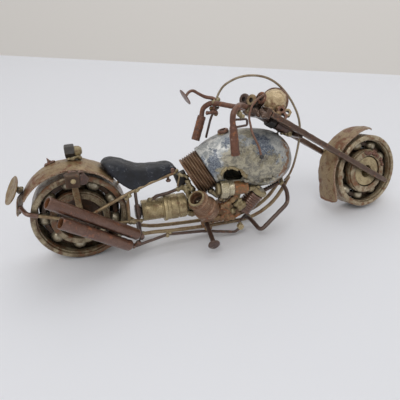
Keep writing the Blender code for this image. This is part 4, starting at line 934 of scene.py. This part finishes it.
def tank_paint():
    """Galvanised iron: blue-grey mottling, a painted highlight high on the right by the neck, dark blue
    scars, brown-yellow stains low down on the right, and painted shade where parts close in.
    """
    mat, tree, shader, place = textured("galvanised_tank")
    middle = clouds(tree, place, 3.6, 9.0, 0.72, 0.5, (0.3, 0.1, 0.7))
    fine = clouds(tree, place, 0.7, 6.0, 0.75, 0.0, (0.6, 0.2, 0.1))
    drift = node(tree, "TexNoise", {"Vector": place, "Scale": 190.0, "Detail": 5.0,
        "Roughness": 0.62}).outputs["Color"]
    drift = node(tree, "VectorMath", {0: drift, 1: (0.5, 0.5, 0.5)}, operation="SUBTRACT").outputs[0]
    drift = node(tree, "VectorMath", {0: drift, 1: (0.022, 0.022, 0.022)}, operation="MULTIPLY").outputs[0]
    bent = node(tree, "VectorMath", {0: place, 1: drift}, operation="ADD").outputs[0]

    def near(spot, reach, stretch=(1, 1, 1)):
        """1 at a spot, falling to 0 reach millimetres away."""
        moved = node(tree, "Mapping", {"Vector": bent, "Scale": stretch,
                                       "Location": [-c * MM * k for c, k in zip(spot, stretch)]})
        far = node(tree, "VectorMath", {0: moved.outputs[0]}, operation="LENGTH").outputs["Value"]
        return between(tree, far, reach * MM * 0.3, reach * MM, 1.0, 0.0)

    def any_of(*masks):
        most = masks[0]
        for mask in masks[1:]:
            most = maths(tree, "MAXIMUM", most, mask)
        return most

    cells = node(tree, "TexVoronoi", {"Vector": place, "Scale": 620.0}, feature="F1")
    spangle = between(tree, cells.outputs["Distance"], 0.1, 0.75)
    colour = mixed(tree, between(tree, middle, 0.40, 0.60), (0.190, 0.215, 0.240), (0.46, 0.465, 0.45))
    colour = mixed(tree, maths(tree, "MULTIPLY", spangle, 0.25), colour, (0.62, 0.62, 0.58))
    # Painted highlight: a whitish patch high on the right side of the tank, by the neck.
    painted_highlight = any_of(near((80.9, -10.2, 56), 9), near((77, -5, 56), 7))
    colour = mixed(tree, maths(tree, "MULTIPLY", painted_highlight, between(tree, middle, 0.42, 0.60)), colour,
        (0.74, 0.74, 0.72))
    scars = any_of(near((75.0, -11.7, 50.1), 9), near((102.9, -10.2, 58.4), 10),
        near((104.3, -15.4, 51.9), 13), near((101.0, -15, 36.1), 4), near((88, -8, 60), 6),
        near((92, -14, 55), 6))
    scars = between(tree, maths(tree, "ADD", maths(tree, "MULTIPLY", scars, 0.55), middle), 0.80, 0.97)
    scar_tone = mixed(tree, between(tree, fine, 0.46, 0.62), (0.040, 0.058, 0.100), (0.30, 0.34, 0.39))
    colour = mixed(tree, maths(tree, "MULTIPLY", scars, 0.88), colour, scar_tone)
    stain = any_of(near((90.0, -15.3, 50.0), 13, (0.9, 1, 0.9)), near((102.4, -17.1, 42.6), 14,
        (0.75, 1, 1)), near((86, -15.7, 45), 12), near((92, -16, 41), 10), near((96.1, -3, 62.0), 8))
    low = between(tree, node(tree, "SeparateXYZ", {0: place}).outputs["Z"], 0.037, 0.028, 0.0, 0.75)
    stain = between(tree, maths(tree, "ADD", any_of(stain, low), maths(tree, "MULTIPLY", middle, 1.2)),
        0.82, 1.16)
    stain_tone = mixed(tree, between(tree, middle, 0.42, 0.58), (0.150, 0.106, 0.032), (0.42, 0.345, 0.165))
    stain_tone = mixed(tree, between(tree, fine, 0.53, 0.68), stain_tone, (0.50, 0.45, 0.31))
    colour = mixed(tree, stain, colour, stain_tone)
    along = node(tree, "VectorMath", {0: bent, 1: (0.973, 0, -0.23)},
        operation="DOT_PRODUCT").outputs["Value"]
    seam = maths(tree, "MULTIPLY", between(tree, along, 0.1024, 0.1037),
                 between(tree, along, 0.1064, 0.1078, 0.95, 0.0))
    colour = mixed(tree, maths(tree, "MULTIPLY", seam, between(tree, fine, 0.30, 0.48)), colour,
        (0.25, 0.115, 0.038))
    pits = between(tree, fine, 0.62, 0.72)
    colour = mixed(tree, maths(tree, "MULTIPLY", pits, 0.6), colour, (0.060, 0.055, 0.050))
    shade = node(tree, "AmbientOcclusion", {"Distance": 0.005}, samples=6).outputs["AO"]
    colour = mixed(tree, between(tree, shade, 0.25, 0.8, 0.8, 0.0), colour, (0.035, 0.024, 0.014))
    tree.links.new(colour, shader.inputs["Base Color"])
    gloss = maths(tree, "ADD", between(tree, fine, 0.3, 0.7, 0.26, 0.5),
        maths(tree, "MULTIPLY", stain, 0.12))
    tree.links.new(gloss, shader.inputs["Roughness"])
    tree.links.new(between(tree, stain, 0.0, 1.0, 0.55, 0.1), shader.inputs["Metallic"])
    relief = maths(tree, "ADD", maths(tree, "MULTIPLY", middle, 0.6), maths(tree, "MULTIPLY", fine, 0.25))
    relief = maths(tree, "ADD", relief, maths(tree, "MULTIPLY", maths(tree, "MULTIPLY", stain, middle),
        0.5))
    bumped = node(tree, "Bump", {"Strength": 0.6, "Distance": 0.0008, "Height": relief})
    tree.links.new(bumped.outputs[0], shader.inputs["Normal"])
    shader.inputs["Coat Weight"].default_value = 0.45
    shader.inputs["Coat Roughness"].default_value = 0.22
    return mat


def tank():
    start, along = Vector((64.5, 0, 36.9)), Vector((math.cos(math.radians(28)), 0,
        math.sin(math.radians(28))))
    neck = [(12.6, 11.9), (12.8, 11.4), (12.8, 0.4), (12.3, 0), (10.6, 0), (10.2, 0.5), (10.2, 11.9)]
    lathe("tank_neck_thread", neck, start, along, "neck", "frame", "tank_neck", sides=150, close=True,
        ease=0.25, step=0.26, shape=lambda r, h, t: np.where(r > 11.4,
        helix(0.2, 11.8, 1.46, 1.15, 0.8)(r, h, t), r), lumps=0.07)
    collar = [(13.1, 1.0), (13.4, 0.6), (13.2, -1.3), (12.2, -1.6), (11.6, -1.4), (11.6, 1.0)]
    lathe("tank_collar", collar, Vector((75.6, 0, 42.8)), along, tank_skin, "frame", sides=120, close=True,
        lumps=0.1)
    rows, sides = 84, 120
    outer = [[tank_spot(i / rows, 2 * math.pi * j / sides) for j in range(sides)] for i in range(rows + 1)]
    inner = [[tank_spot(i / rows, 2 * math.pi * j / sides, 1.6) for j in range(sides)]
        for i in range(rows - 10, -1, -1)]
    grid = outer[::-1] + inner[::-1]
    verts = np.array([list(p) for row in grid for p in row])
    verts = roughen(verts, 0.28, 7.0, 3.0)
    verts = roughen(verts, 0.07, 1.6, 5.0)
    faces = grid_faces(len(grid), sides)
    faces.append(tuple(range(sides)))
    faces.append(tuple((len(grid) - 1) * sides + j for j in range(sides))[::-1])
    body = finish_mesh("tank_shell", verts, faces, tank_skin, "frame", "tank_body", 60)
    cutter = bmesh.new()
    spot = (Matrix.Translation(Vector((85.6, -15.6, 41.4)) * MM) @ Matrix.Rotation(math.radians(16), 4, "Y")
            @ Matrix.Diagonal((6.7 * MM, 5.6 * MM, 5.2 * MM, 1)))
    bmesh.ops.create_icosphere(cutter, subdivisions=4, radius=1, matrix=spot)
    for vert in cutter.verts:
        vert.co += vert.normal * 0.0009 * noise.noise(vert.co * 420)
    mesh = bpy.data.meshes.new("hole_raw")
    cutter.to_mesh(mesh)
    cutter.free()
    hole = in_scene("hole_raw", mesh)
    cut = body.modifiers.new("hole", "BOOLEAN")
    cut.object = hole
    cut.solver = "EXACT"
    done = baked(body)
    body.modifiers.clear()
    body.data = done
    done.shade_smooth()
    done.set_sharp_from_angle(angle=math.radians(60))
    bpy.data.objects.remove(hole)
    rim = [tank_side(85.6 + 7.0 * math.cos(t), 41.6 + 5.5 * math.sin(t) - 1.6 * math.cos(t))
           for t in (math.pi * (0.04 + 0.062 * i) for i in range(17))]
    lumpy("tank_hole_brazing", bead(rim, 0.9, jitter=0.4, seed=50), "khaki", "frame", voxel=0.28, rough=0.3)
    flow = [tank_side(92.4, 39.0), tank_side(96.0, 37.2), tank_side(100.4, 36.2), tank_side(105.0, 36.4),
        tank_side(109.0, 37.2)]
    lumpy("tank_side_brazing", bead(flow, 1.0, jitter=0.7, seed=51), tank_skin, "frame", voxel=0.3,
        rough=0.4)
    lathe("filler_band", [(1.7, 1.0), (2.6, 1.1), (3.2, 0.6), (3.3, -0.8), (1.7, -0.8)], (85.4, 2.6, 62.2),
        (-0.22, 0.16, 0.96), "grip", "frame", "filler_ring", sides=64, close=True, lumps=0.15,
        lump_size=1.6)
    lumpy("filler_weld", bead([(82.6, 1.6, 60.6), (84.0, -0.2, 61.0), (87.4, 0.4, 61.4)], 0.7, seed=53),
        "khaki", "frame", voxel=0.25, rough=0.2)


tank_skin = tank_paint()


# Saddle

def saddle_paint():
    mat, tree, shader, place = textured("saddle_skin")
    broad = clouds(tree, place, 7.0, 5.0, 0.6, 0.4)
    middle = clouds(tree, place, 1.7, 8.0, 0.72, 0.3, (0.2, 0.4, 0.1))
    fine = clouds(tree, place, 0.5, 5.0, 0.7, 0.0, (0.5, 0.3, 0.9))
    colour = mixed(tree, between(tree, broad, 0.35, 0.65), (0.0040, 0.0050, 0.0090), (0.010, 0.013, 0.023))
    scuff = maths(tree, "MULTIPLY", between(tree, middle, 0.565, 0.67), between(tree, broad, 0.44, 0.60))
    colour = mixed(tree, maths(tree, "MULTIPLY", scuff, 0.75), colour, (0.23, 0.25, 0.28))
    worn = between(tree, node(tree, "NewGeometry").outputs["Pointiness"], 0.52, 0.60)
    colour = mixed(tree, maths(tree, "MULTIPLY", worn, 0.25), colour, (0.10, 0.10, 0.11))
    tree.links.new(colour, shader.inputs["Base Color"])
    tree.links.new(between(tree, fine, 0.3, 0.7, 0.38, 0.58), shader.inputs["Roughness"])
    relief = maths(tree, "ADD", maths(tree, "MULTIPLY", middle, 0.6), maths(tree, "MULTIPLY", fine, 0.3))
    bumped = node(tree, "Bump", {"Strength": 0.55, "Distance": 0.0006, "Height": relief})
    tree.links.new(bumped.outputs[0], shader.inputs["Normal"])
    shader.inputs["Specular IOR Level"].default_value = 0.4
    shader.inputs["Coat Weight"].default_value = 0.25
    shader.inputs["Coat Roughness"].default_value = 0.2
    return mat


def saddle():
    """A soft-looking moulded saddle, high at the back, with a flap hanging over the right rail."""
    sections = ((15.0, 54.0, 2.2, 2.4, 2.0), (15.8, 54.9, 4.2, 4.4, 3.4), (17.6, 55.7, 6.2, 6.6, 5.2),
        (21.2, 55.9, 7.6, 10.6, 8.4), (25.8, 54.0, 8.1, 13.6, 10.0), (30.6, 51.2, 7.9, 13.2, 9.4),
        (36.6, 49.4, 7.2, 9.6, 7.4), (42.8, 49.0, 6.2, 6.6, 5.6), (48.8, 49.4, 5.2, 5.2, 4.8),
        (52.6, 48.9, 4.1, 4.4, 4.2), (54.4, 47.8, 2.9, 3.2, 3.0), (55.2, 46.9, 1.4, 1.6, 1.5))
    cross = ((-0.16, -0.62), (-0.55, -0.66), (-0.86, -0.94), (-1.0, -1.0), (-1.08, -0.92), (-1.06, -0.6),
        (-0.98, -0.3), (-0.78, -0.08), (-0.42, 0.02), (0.0, 0.0), (0.42, 0.02), (0.78, -0.08), (0.98, -0.3),
        (1.06, -0.6), (1.08, -0.92), (1.0, -1.0), (0.86, -0.94), (0.55, -0.66), (0.16, -0.62))
    verts = []
    for x, top, half, near_drop, far_drop in sections:
        for u, v in cross:
            drop = near_drop if u < 0 else far_drop
            lean = 0.06 * near_drop * (-v) if u < 0 else 0.0
            verts.append((x + (1.6 * -v if u < -0.5 else 0.0), u * half - lean,
                top + v * drop * (1.0 if abs(u) > 0.5 else 0.8)))
    sides = len(cross)
    faces = grid_faces(len(sections), sides)
    faces.append(tuple(range(sides)))
    faces.append(tuple((len(sections) - 1) * sides + j for j in range(sides))[::-1])
    rough = finish_mesh("saddle", verts, faces, saddle_paint(), "frame", "seat", 180)
    soft = rough.modifiers.new("soft", "SUBSURF")
    soft.levels = soft.render_levels = 3
    mesh = baked(rough)
    rough.modifiers.clear()
    spots = np.array([v.co[:] for v in mesh.vertices]) / MM
    spots = roughen(spots, 0.45, 5.0, 2.0)
    spots = roughen(spots, 0.12, 1.4, 6.0)
    mesh.vertices.foreach_set("co", (spots * MM).astype(np.float32).reshape(-1))
    mesh.shade_smooth()
    rough.data = mesh
    block("seat_stop", (4.2, 7.0, 7.4), (58.6, -1.2, 38.4), facing((-0.3, 0, 0.95)), "black", "frame",
        "seat_block", lumps=0.12)
    sweep("seat_stop_clip", rounded([(55.6, -4.6, 35.4), (57.2, -4.9, 42.4), (61.2, -4.9, 41.6),
        (62.4, -4.4, 37.6)], 0.8), 0.55, "rod", "frame", seed=4)
    for name, spot, along, size in (("saddle_screw", (53.4, -4.3, 45.6), (0.1, -0.9, 0.35), 1.5),
                                    ("saddle_bolt", (50.6, -4.2, 39.6), (0, -0.35, -1), 1.5)):
        lathe(name, [(0, 0.9), (0.9, 0.8), (size, 0.2), (size, -0.5), (0.8, -0.9), (0.7, -4.2), (0, -4.2)],
            spot, along, "pipe", "frame", sides=28, lumps=0.1, lump_size=1.0)


# Front end

def fork():
    for name, side in (("right", -1), ("left", 1)):
        y = side * 9.6
        route = [at_fork(1.0, y, -15.0), at_fork(1.0, y, 85.6)]
        sweep("fork_bar_" + name, route, 1.62, "fork", "steering", "fork_leg_" + name, sides=28, step=0.7,
            square=7.0, up=FORK_LEFT, lumps=0.16, lump_size=3.0, seed=side * 1.5, dome=0.2,
            width=lambda t: 1 - 0.22 * max(0.0, (0.07 - t) / 0.07))
        spots = [at_fork(1.0, side * 8.0, h) for h in (11.6, 12.8, -11.6, -12.8)]
        lumpy("fork_weld_" + name, bead(spots[:2], 1.2, seed=60) + bead(spots[2:], 1.2, seed=61), "weld",
            "steering", voxel=0.3)
    lumpy("mudguard_weld", bead(on_fork((1, -8.0, 25.6), (2.6, -7.4, 27.6), (3.4, -5.2, 28.6)), 1.0,
        seed=62) + bead(on_fork((1, 8.0, 25.6), (2.4, 7.4, 27.6)), 1.0, seed=63), "khaki", "steering",
        voxel=0.3)
    stem = [(0, 92.6), (2.9, 92.6), (3.4, 92.0), (3.4, 90.4), (3.0, 90.0), (1.9, 90.0), (1.9, 58.4),
        (1.5, 58.2), (0, 58.2)]
    lathe("stem_long_bolt", stem, PIVOT, FORK_UP, "dark", "steering", "stem_bolt", sides=40, step=0.3,
          shape=helix(59, 89, 0.9, 0.16))
    nut("stem_lock_nut", 7.6, 4.0, at_fork(0, 0, 78.0), FORK_UP, "black", "steering", "stem_nut", hole=1.95,
        spin=12)
    block("lower_yoke_bar", (4.8, 15.4, 3.4), at_fork(0.4, 0, 60.0), TURN, "dark", "steering", "lower_yoke",
        lumps=0.2)
    block("upper_yoke_bar", (5.6, 23.0, 3.2), at_fork(0.4, 0, 87.9), TURN, "fork", "steering", "upper_yoke",
        lumps=0.25, cuts=12)
    lumpy("yoke_welds", bead(on_fork((0.6, -9.4, 86.6), (-1.2, -9.8, 89.6), (0.4, -7.0, 90.0)), 1.5,
        seed=64) + bead(on_fork((0.6, 9.4, 86.6), (-1.2, 9.8, 89.6), (0.4, 7.0, 90.0)), 1.5, seed=65)
        + bead(on_fork((-1.2, -5.6, 90.4), (-1.2, -4.6, 95.6)), 1.6, seed=66)
        + bead(on_fork((-1.2, 5.6, 90.4), (-1.2, 4.6, 95.6)), 1.6, seed=67)
        + bead(on_fork((0.4, -7.8, 60.0), (0.8, -8.4, 61.2)), 1.2, seed=68)
        + bead(on_fork((0.4, 7.8, 60.0), (0.8, 8.4, 61.2)), 1.2, seed=69), "fork", "steering", voxel=0.35)
    tube = [(3.3, 74.6), (3.3, 63.0), (2.3, 63.0), (2.3, 74.6)]
    lathe("head_tube_pipe", tube, PIVOT, FORK_UP, "dark", "frame", "head_tube", sides=48, close=True,
        lumps=0.12)
    lumpy("head_tube_weld", bead(on_fork((-2.2, -1.8, 64.0), (-3.0, 0.4, 67.0), (-2.6, 2.0, 70.0)), 1.4,
        seed=70) + bead([(116.8, -2.2, 55.4), (118.4, 0.6, 56.0)], 1.6, seed=71), "khaki", "frame",
        voxel=0.35)


def bars():
    side = 22.0
    route = flowing(on_fork((-23.6, side, 107.9), (-14.0, side, 109.4), (-9.0, side - 0.2, 110.6),
        (-5.4, side - 2.5, 109.6), (-3.6, 16.5, 107.2), (-2.2, 9.0, 101.2), (-1.2, 3.5, 97.2),
        (-1.2, -3.5, 97.2), (-2.2, -9.0, 101.2), (-4.2, -15.0, 107.6), (-6.6, -side + 2, 111.2),
        (-10.6, -side, 113.0), (-15.0, -side, 111.2), (-25.4, -side, 104.5)), 10)
    sweep("bars", route, 1.5, "grip", "steering", "handlebar", sides=24, lumps=0.14, seed=13)
    sleeve = [(1.9, 14.6), (2.3, 14.7), (2.5, 14.3), (2.55, 0.4), (2.3, 0), (1.9, 0.2)]
    drawn = [(1.7, 14.6), (2.0, 14.7), (2.25, 14.3), (2.2, 4.0), (1.9, 0.8), (1.62, -0.6), (1.55, 0.8)]
    for name, at, along, hollow in (("left", (-12.9, side, 109.35), (-13.5, 0, -2.2), sleeve),
                                    ("right", (-16.6, -side, 110.15), (-10.4, 0, -6.7), drawn)):
        lathe("grip_tube_" + name, hollow, at_fork(*at), along_fork(*along), "grip", "steering",
            "grip_" + name, sides=48, close=True, step=0.35, ease=0.15, lumps=0.16, lump_size=1.3, seed=14)
    sweep("lever_rod_left", rounded(on_fork((-4.6, 17.2, 104.0), (-8.2, 17.6, 105.6), (-12.8, 18.6, 105.0),
        (-23.0, 21.8, 101.4)), 1.4), 0.7, "dark", "steering", "lever_left", seed=15)
    sweep("lever_rod_right", rounded(on_fork((-12.4, -18.6, 108.6), (-9.2, -17.6, 102.4),
        (-11.8, -17.4, 100.6), (-15.4, -18.6, 106.4)), 1.0), 0.6, "dark", "steering", "lever_right",
        seed=16)
    for k, (x, y, z) in enumerate(((-5.4, 18.4, 105.6), (-8.4, 18.2, 103.4), (-7.0, 18.8, 107.0))):
        nut(f"lever_nut_{k}", 2.4, 1.6, at_fork(x, y, z), along_fork(-0.6, -0.7, 0.5 - 0.3 * k), "weld",
            "steering", spin=20 * k)
    lumpy("lever_clamp", bead([(80.6, 15.6, 69.6), (85.4, 13.8, 69.6)], 1.1, seed=78)
          + bead([(83.4, 14.8, 69.6), (84.2, 15.0, 73.4)], 1.0, seed=79), "grip", "steering", voxel=0.3)
    lumpy("bar_welds", bead([(84.2, 15.2, 75.2), (87.2, 16.8, 76.2)], 1.4, seed=72)
        + bead(on_fork((-8.6, -19.4, 108.2), (-9.6, -20.4, 106.4)), 1.3, seed=73)
        + bead(on_fork((-3.0, -9.0, 99.6), (-4.4, -9.6, 99.8)), 1.0, seed=74), "khaki", "steering",
        voxel=0.3)
    sweep("mirror_stalk", flowing(on_fork((-1.6, 17.4, 107.6), (-1.6, 18.8, 109.6), (-2.6, 20, 113.4),
        (-2.8, 20, 117.8), (-2.9, 20, 121.6), (-5.0, 20, 123.6), (-8.0, 20, 124.2))), 0.9, "grip",
        "steering", seed=17, width=lambda t: 1.25 - 0.45 * t)
    lathe("mirror_disc", [(0, 0.4), (3.6, 0.35), (4.8, 0.25), (5.0, -0.05), (4.7, -0.3), (3.4, -0.25),
        (0, -0.35)], at_fork(-8.2, 20, 124.3), along_fork(-0.88, 0.1, 0.47), "grip", "steering", "mirror",
        sides=60, lumps=0.15, lump_size=2.5)


def instruments():
    way = Vector((-0.84, -0.38, 0.38))
    for k, (spot, paint) in enumerate((((98.9, 4.8, 78.4), "dark"), ((101.2, -0.4, 79.0), "rod"),
            ((105.8, -2.8, 80.4), "grip"))):
        ring = [(1.4, 0.8), (2.8, 0.9), (3.4, 0.4), (3.4, -0.6), (1.4, -0.8)]
        lathe(f"gauge_{k}", ring, spot, way, paint, "steering", "gauge_rings", sides=56, close=True,
            ease=0.35, lumps=0.12, lump_size=1.5, seed=k)
        lathe(f"gauge_{k}_back", [(0, -0.3), (1.6, -0.3), (1.8, -0.5), (1.8, -0.9), (0, -0.9)], spot, way,
            "black", "steering", sides=32, lumps=0.05)
    lumpy("gauge_weld", bead(on_fork((3.0, 2.6, 93.4), (3.4, -1.0, 92.2), (5.8, -3.6, 89.4),
        (2.2, 0.8, 91.0)), 1.2, seed=75), "fork", "steering", voxel=0.3)
    way = along_fork(-0.18, -0.78, 0.60)
    at = at_fork(10.4, -1.2, 82.6)
    dome = [(0, 0.9), (3.0, 0.7), (5.2, 0.0), (6.2, -1.2), (6.5, -3.0), (7.0, -4.4), (7.4, -6.2),
        (6.6, -6.6), (5.8, -5.0), (0, -4.4)]
    lathe("lamp_shell", dome, at, way, "cream", "steering", "headlamp", sides=84, lumps=0.4, lump_size=2.4,
        seed=18)
    rim = [(6.9, -5.4), (7.6, -5.2), (8.0, -6.0), (7.9, -7.2), (7.0, -7.2)]
    lathe("lamp_rim", rim, at, way, "grip", "steering", sides=84, close=True, ease=0.3, lumps=0.12)
    lathe("lamp_glass", [(0, -5.6), (4.0, -5.8), (6.9, -6.6), (6.9, -6.9), (0, -6.2)], at, way, "cream",
        "steering", sides=64, lumps=0.1)
    for k, (spot, size, paint) in enumerate((((3.4, -6.8, 76.4), 5.2, "grip"),
            ((7.0, -5.4, 73.6), 4.4, "rod"), ((6.4, -5.8, 78.2), 4.0, "grip"))):
        nut(f"lamp_nut_{k}", size, 2.6, at_fork(*spot), along_fork(0.2, -0.8, 0.5), paint, "steering",
            hole=size * 0.24, spin=15 * k, seed=k)
    lumpy("lamp_weld", bead(on_fork((2.4, -6.6, 80.2), (5.4, -4.4, 79.4), (9.6, -2.6, 77.4)), 1.4, seed=76)
        + bead(on_fork((1.4, -7.8, 84.0), (4.4, -5.6, 85.0)), 1.5, seed=77), "weld", "steering", voxel=0.35)


def cables():
    loop = [(86.4, 16.8, 75.8), (87.2, 19.4, 76.2), (89.4, 20.2, 80.0), (92.2, 18.0, 84.4),
        (98.6, 14.0, 88.6), (106.4, 10.6, 89.8), (115.4, 9.8, 87.4), (123.2, 9.0, 81.8), (129.4, 6.8, 73.6),
        (133.6, 4.8, 64.4), (134.6, 3.0, 56.0), (133.0, 0.6, 47.6), (129.6, -2.4, 37.6),
        (125.6, -5.0, 31.6), (122.6, -5.4, 28.4)]
    wire = sweep("throttle_wire", flowing(loop, 12), 0.66, "cable", "frame", "throttle_cable", sides=16,
        step=0.8, lumps=0.05, seed=19)
    wire.parent = None
    wire.matrix_world = Matrix.Identity(4)
    del wire["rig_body"]
    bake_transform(wire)
    drop = flowing([(106.5, -4.4, 82.6), (101.4, -7.6, 81.4), (97.3, -10.4, 78.8), (94.5, -14.0, 74.9)]
        + on_fork((-11.4, -16.6, 98.0), (-14.9, -19.0, 96.2), (-19.2, -21.8, 92.0), (-23.2, -23.6, 89.2)))
    sweep("clutch_thin_wire", drop, 0.6, "grip", "steering", "clutch_wire", sides=14, seed=20, lumps=0.06)
    lathe("clutch_wire_nipple", [(0, 1.3), (0.7, 1.1), (1.25, 0.4), (1.25, -0.4), (0.7, -1.1), (0, -1.3)],
        at_fork(-23.7, -23.8, 88.7), along_fork(-0.7, -0.2, -0.7), "black", "steering", sides=28, lumps=0.1,
        lump_size=1.2)


wheels()
fenders()
rear_end()
exhaust()
frame_bars()
gearbox()
engine()
tank()
saddle()
fork()
bars()
instruments()
cables()


# Floor, light, camera

def flat(name, corners, paint):
    """One flat sheet of the set, in metres."""
    mesh = bpy.data.meshes.new(name)
    mesh.from_pydata(corners, [], [tuple(range(len(corners)))])
    mesh.materials.append(paint)
    in_scene(name, mesh)


def table_and_wall():
    """A pale table whose far edge runs behind the bike, and a plain wall beyond."""
    table = [(x, y, -0.0002) for x, y in ((-1.2, -0.9), (1.6, -0.9), (1.6, -0.574), (-1.2, 1.526))]
    flat("table", table, plain("table_white", (0.80, 0.82, 0.875), 0.55))
    wall = [(-1.8, 2.6, -0.8), (2.4, -0.55, -0.8), (2.4, -0.55, 1.6), (-1.8, 2.6, 1.6)]
    flat("wall", wall, plain("wall_grey", (0.90, 0.88, 0.86), 0.8))


def light():
    world = bpy.data.worlds.new("room")
    world.use_nodes = True
    back = world.node_tree.nodes["Background"]
    back.inputs[0].default_value = (1.0, 0.98, 0.95, 1)
    back.inputs[1].default_value = 0.56
    bpy.context.scene.world = world
    area_light("window", (-0.35, -0.75, 1.15), (0.08, 0, 0.02), (0.8, 0.6), 4.7, (1.0, 0.985, 0.96))
    area_light("ceiling", (0.35, 0.45, 1.3), (0.1, 0, 0), (1.4, 1.1), 4.6, (0.97, 0.98, 1.0))


camera()
table_and_wall()
light()
bpy.context.scene.view_settings.view_transform = "Standard"
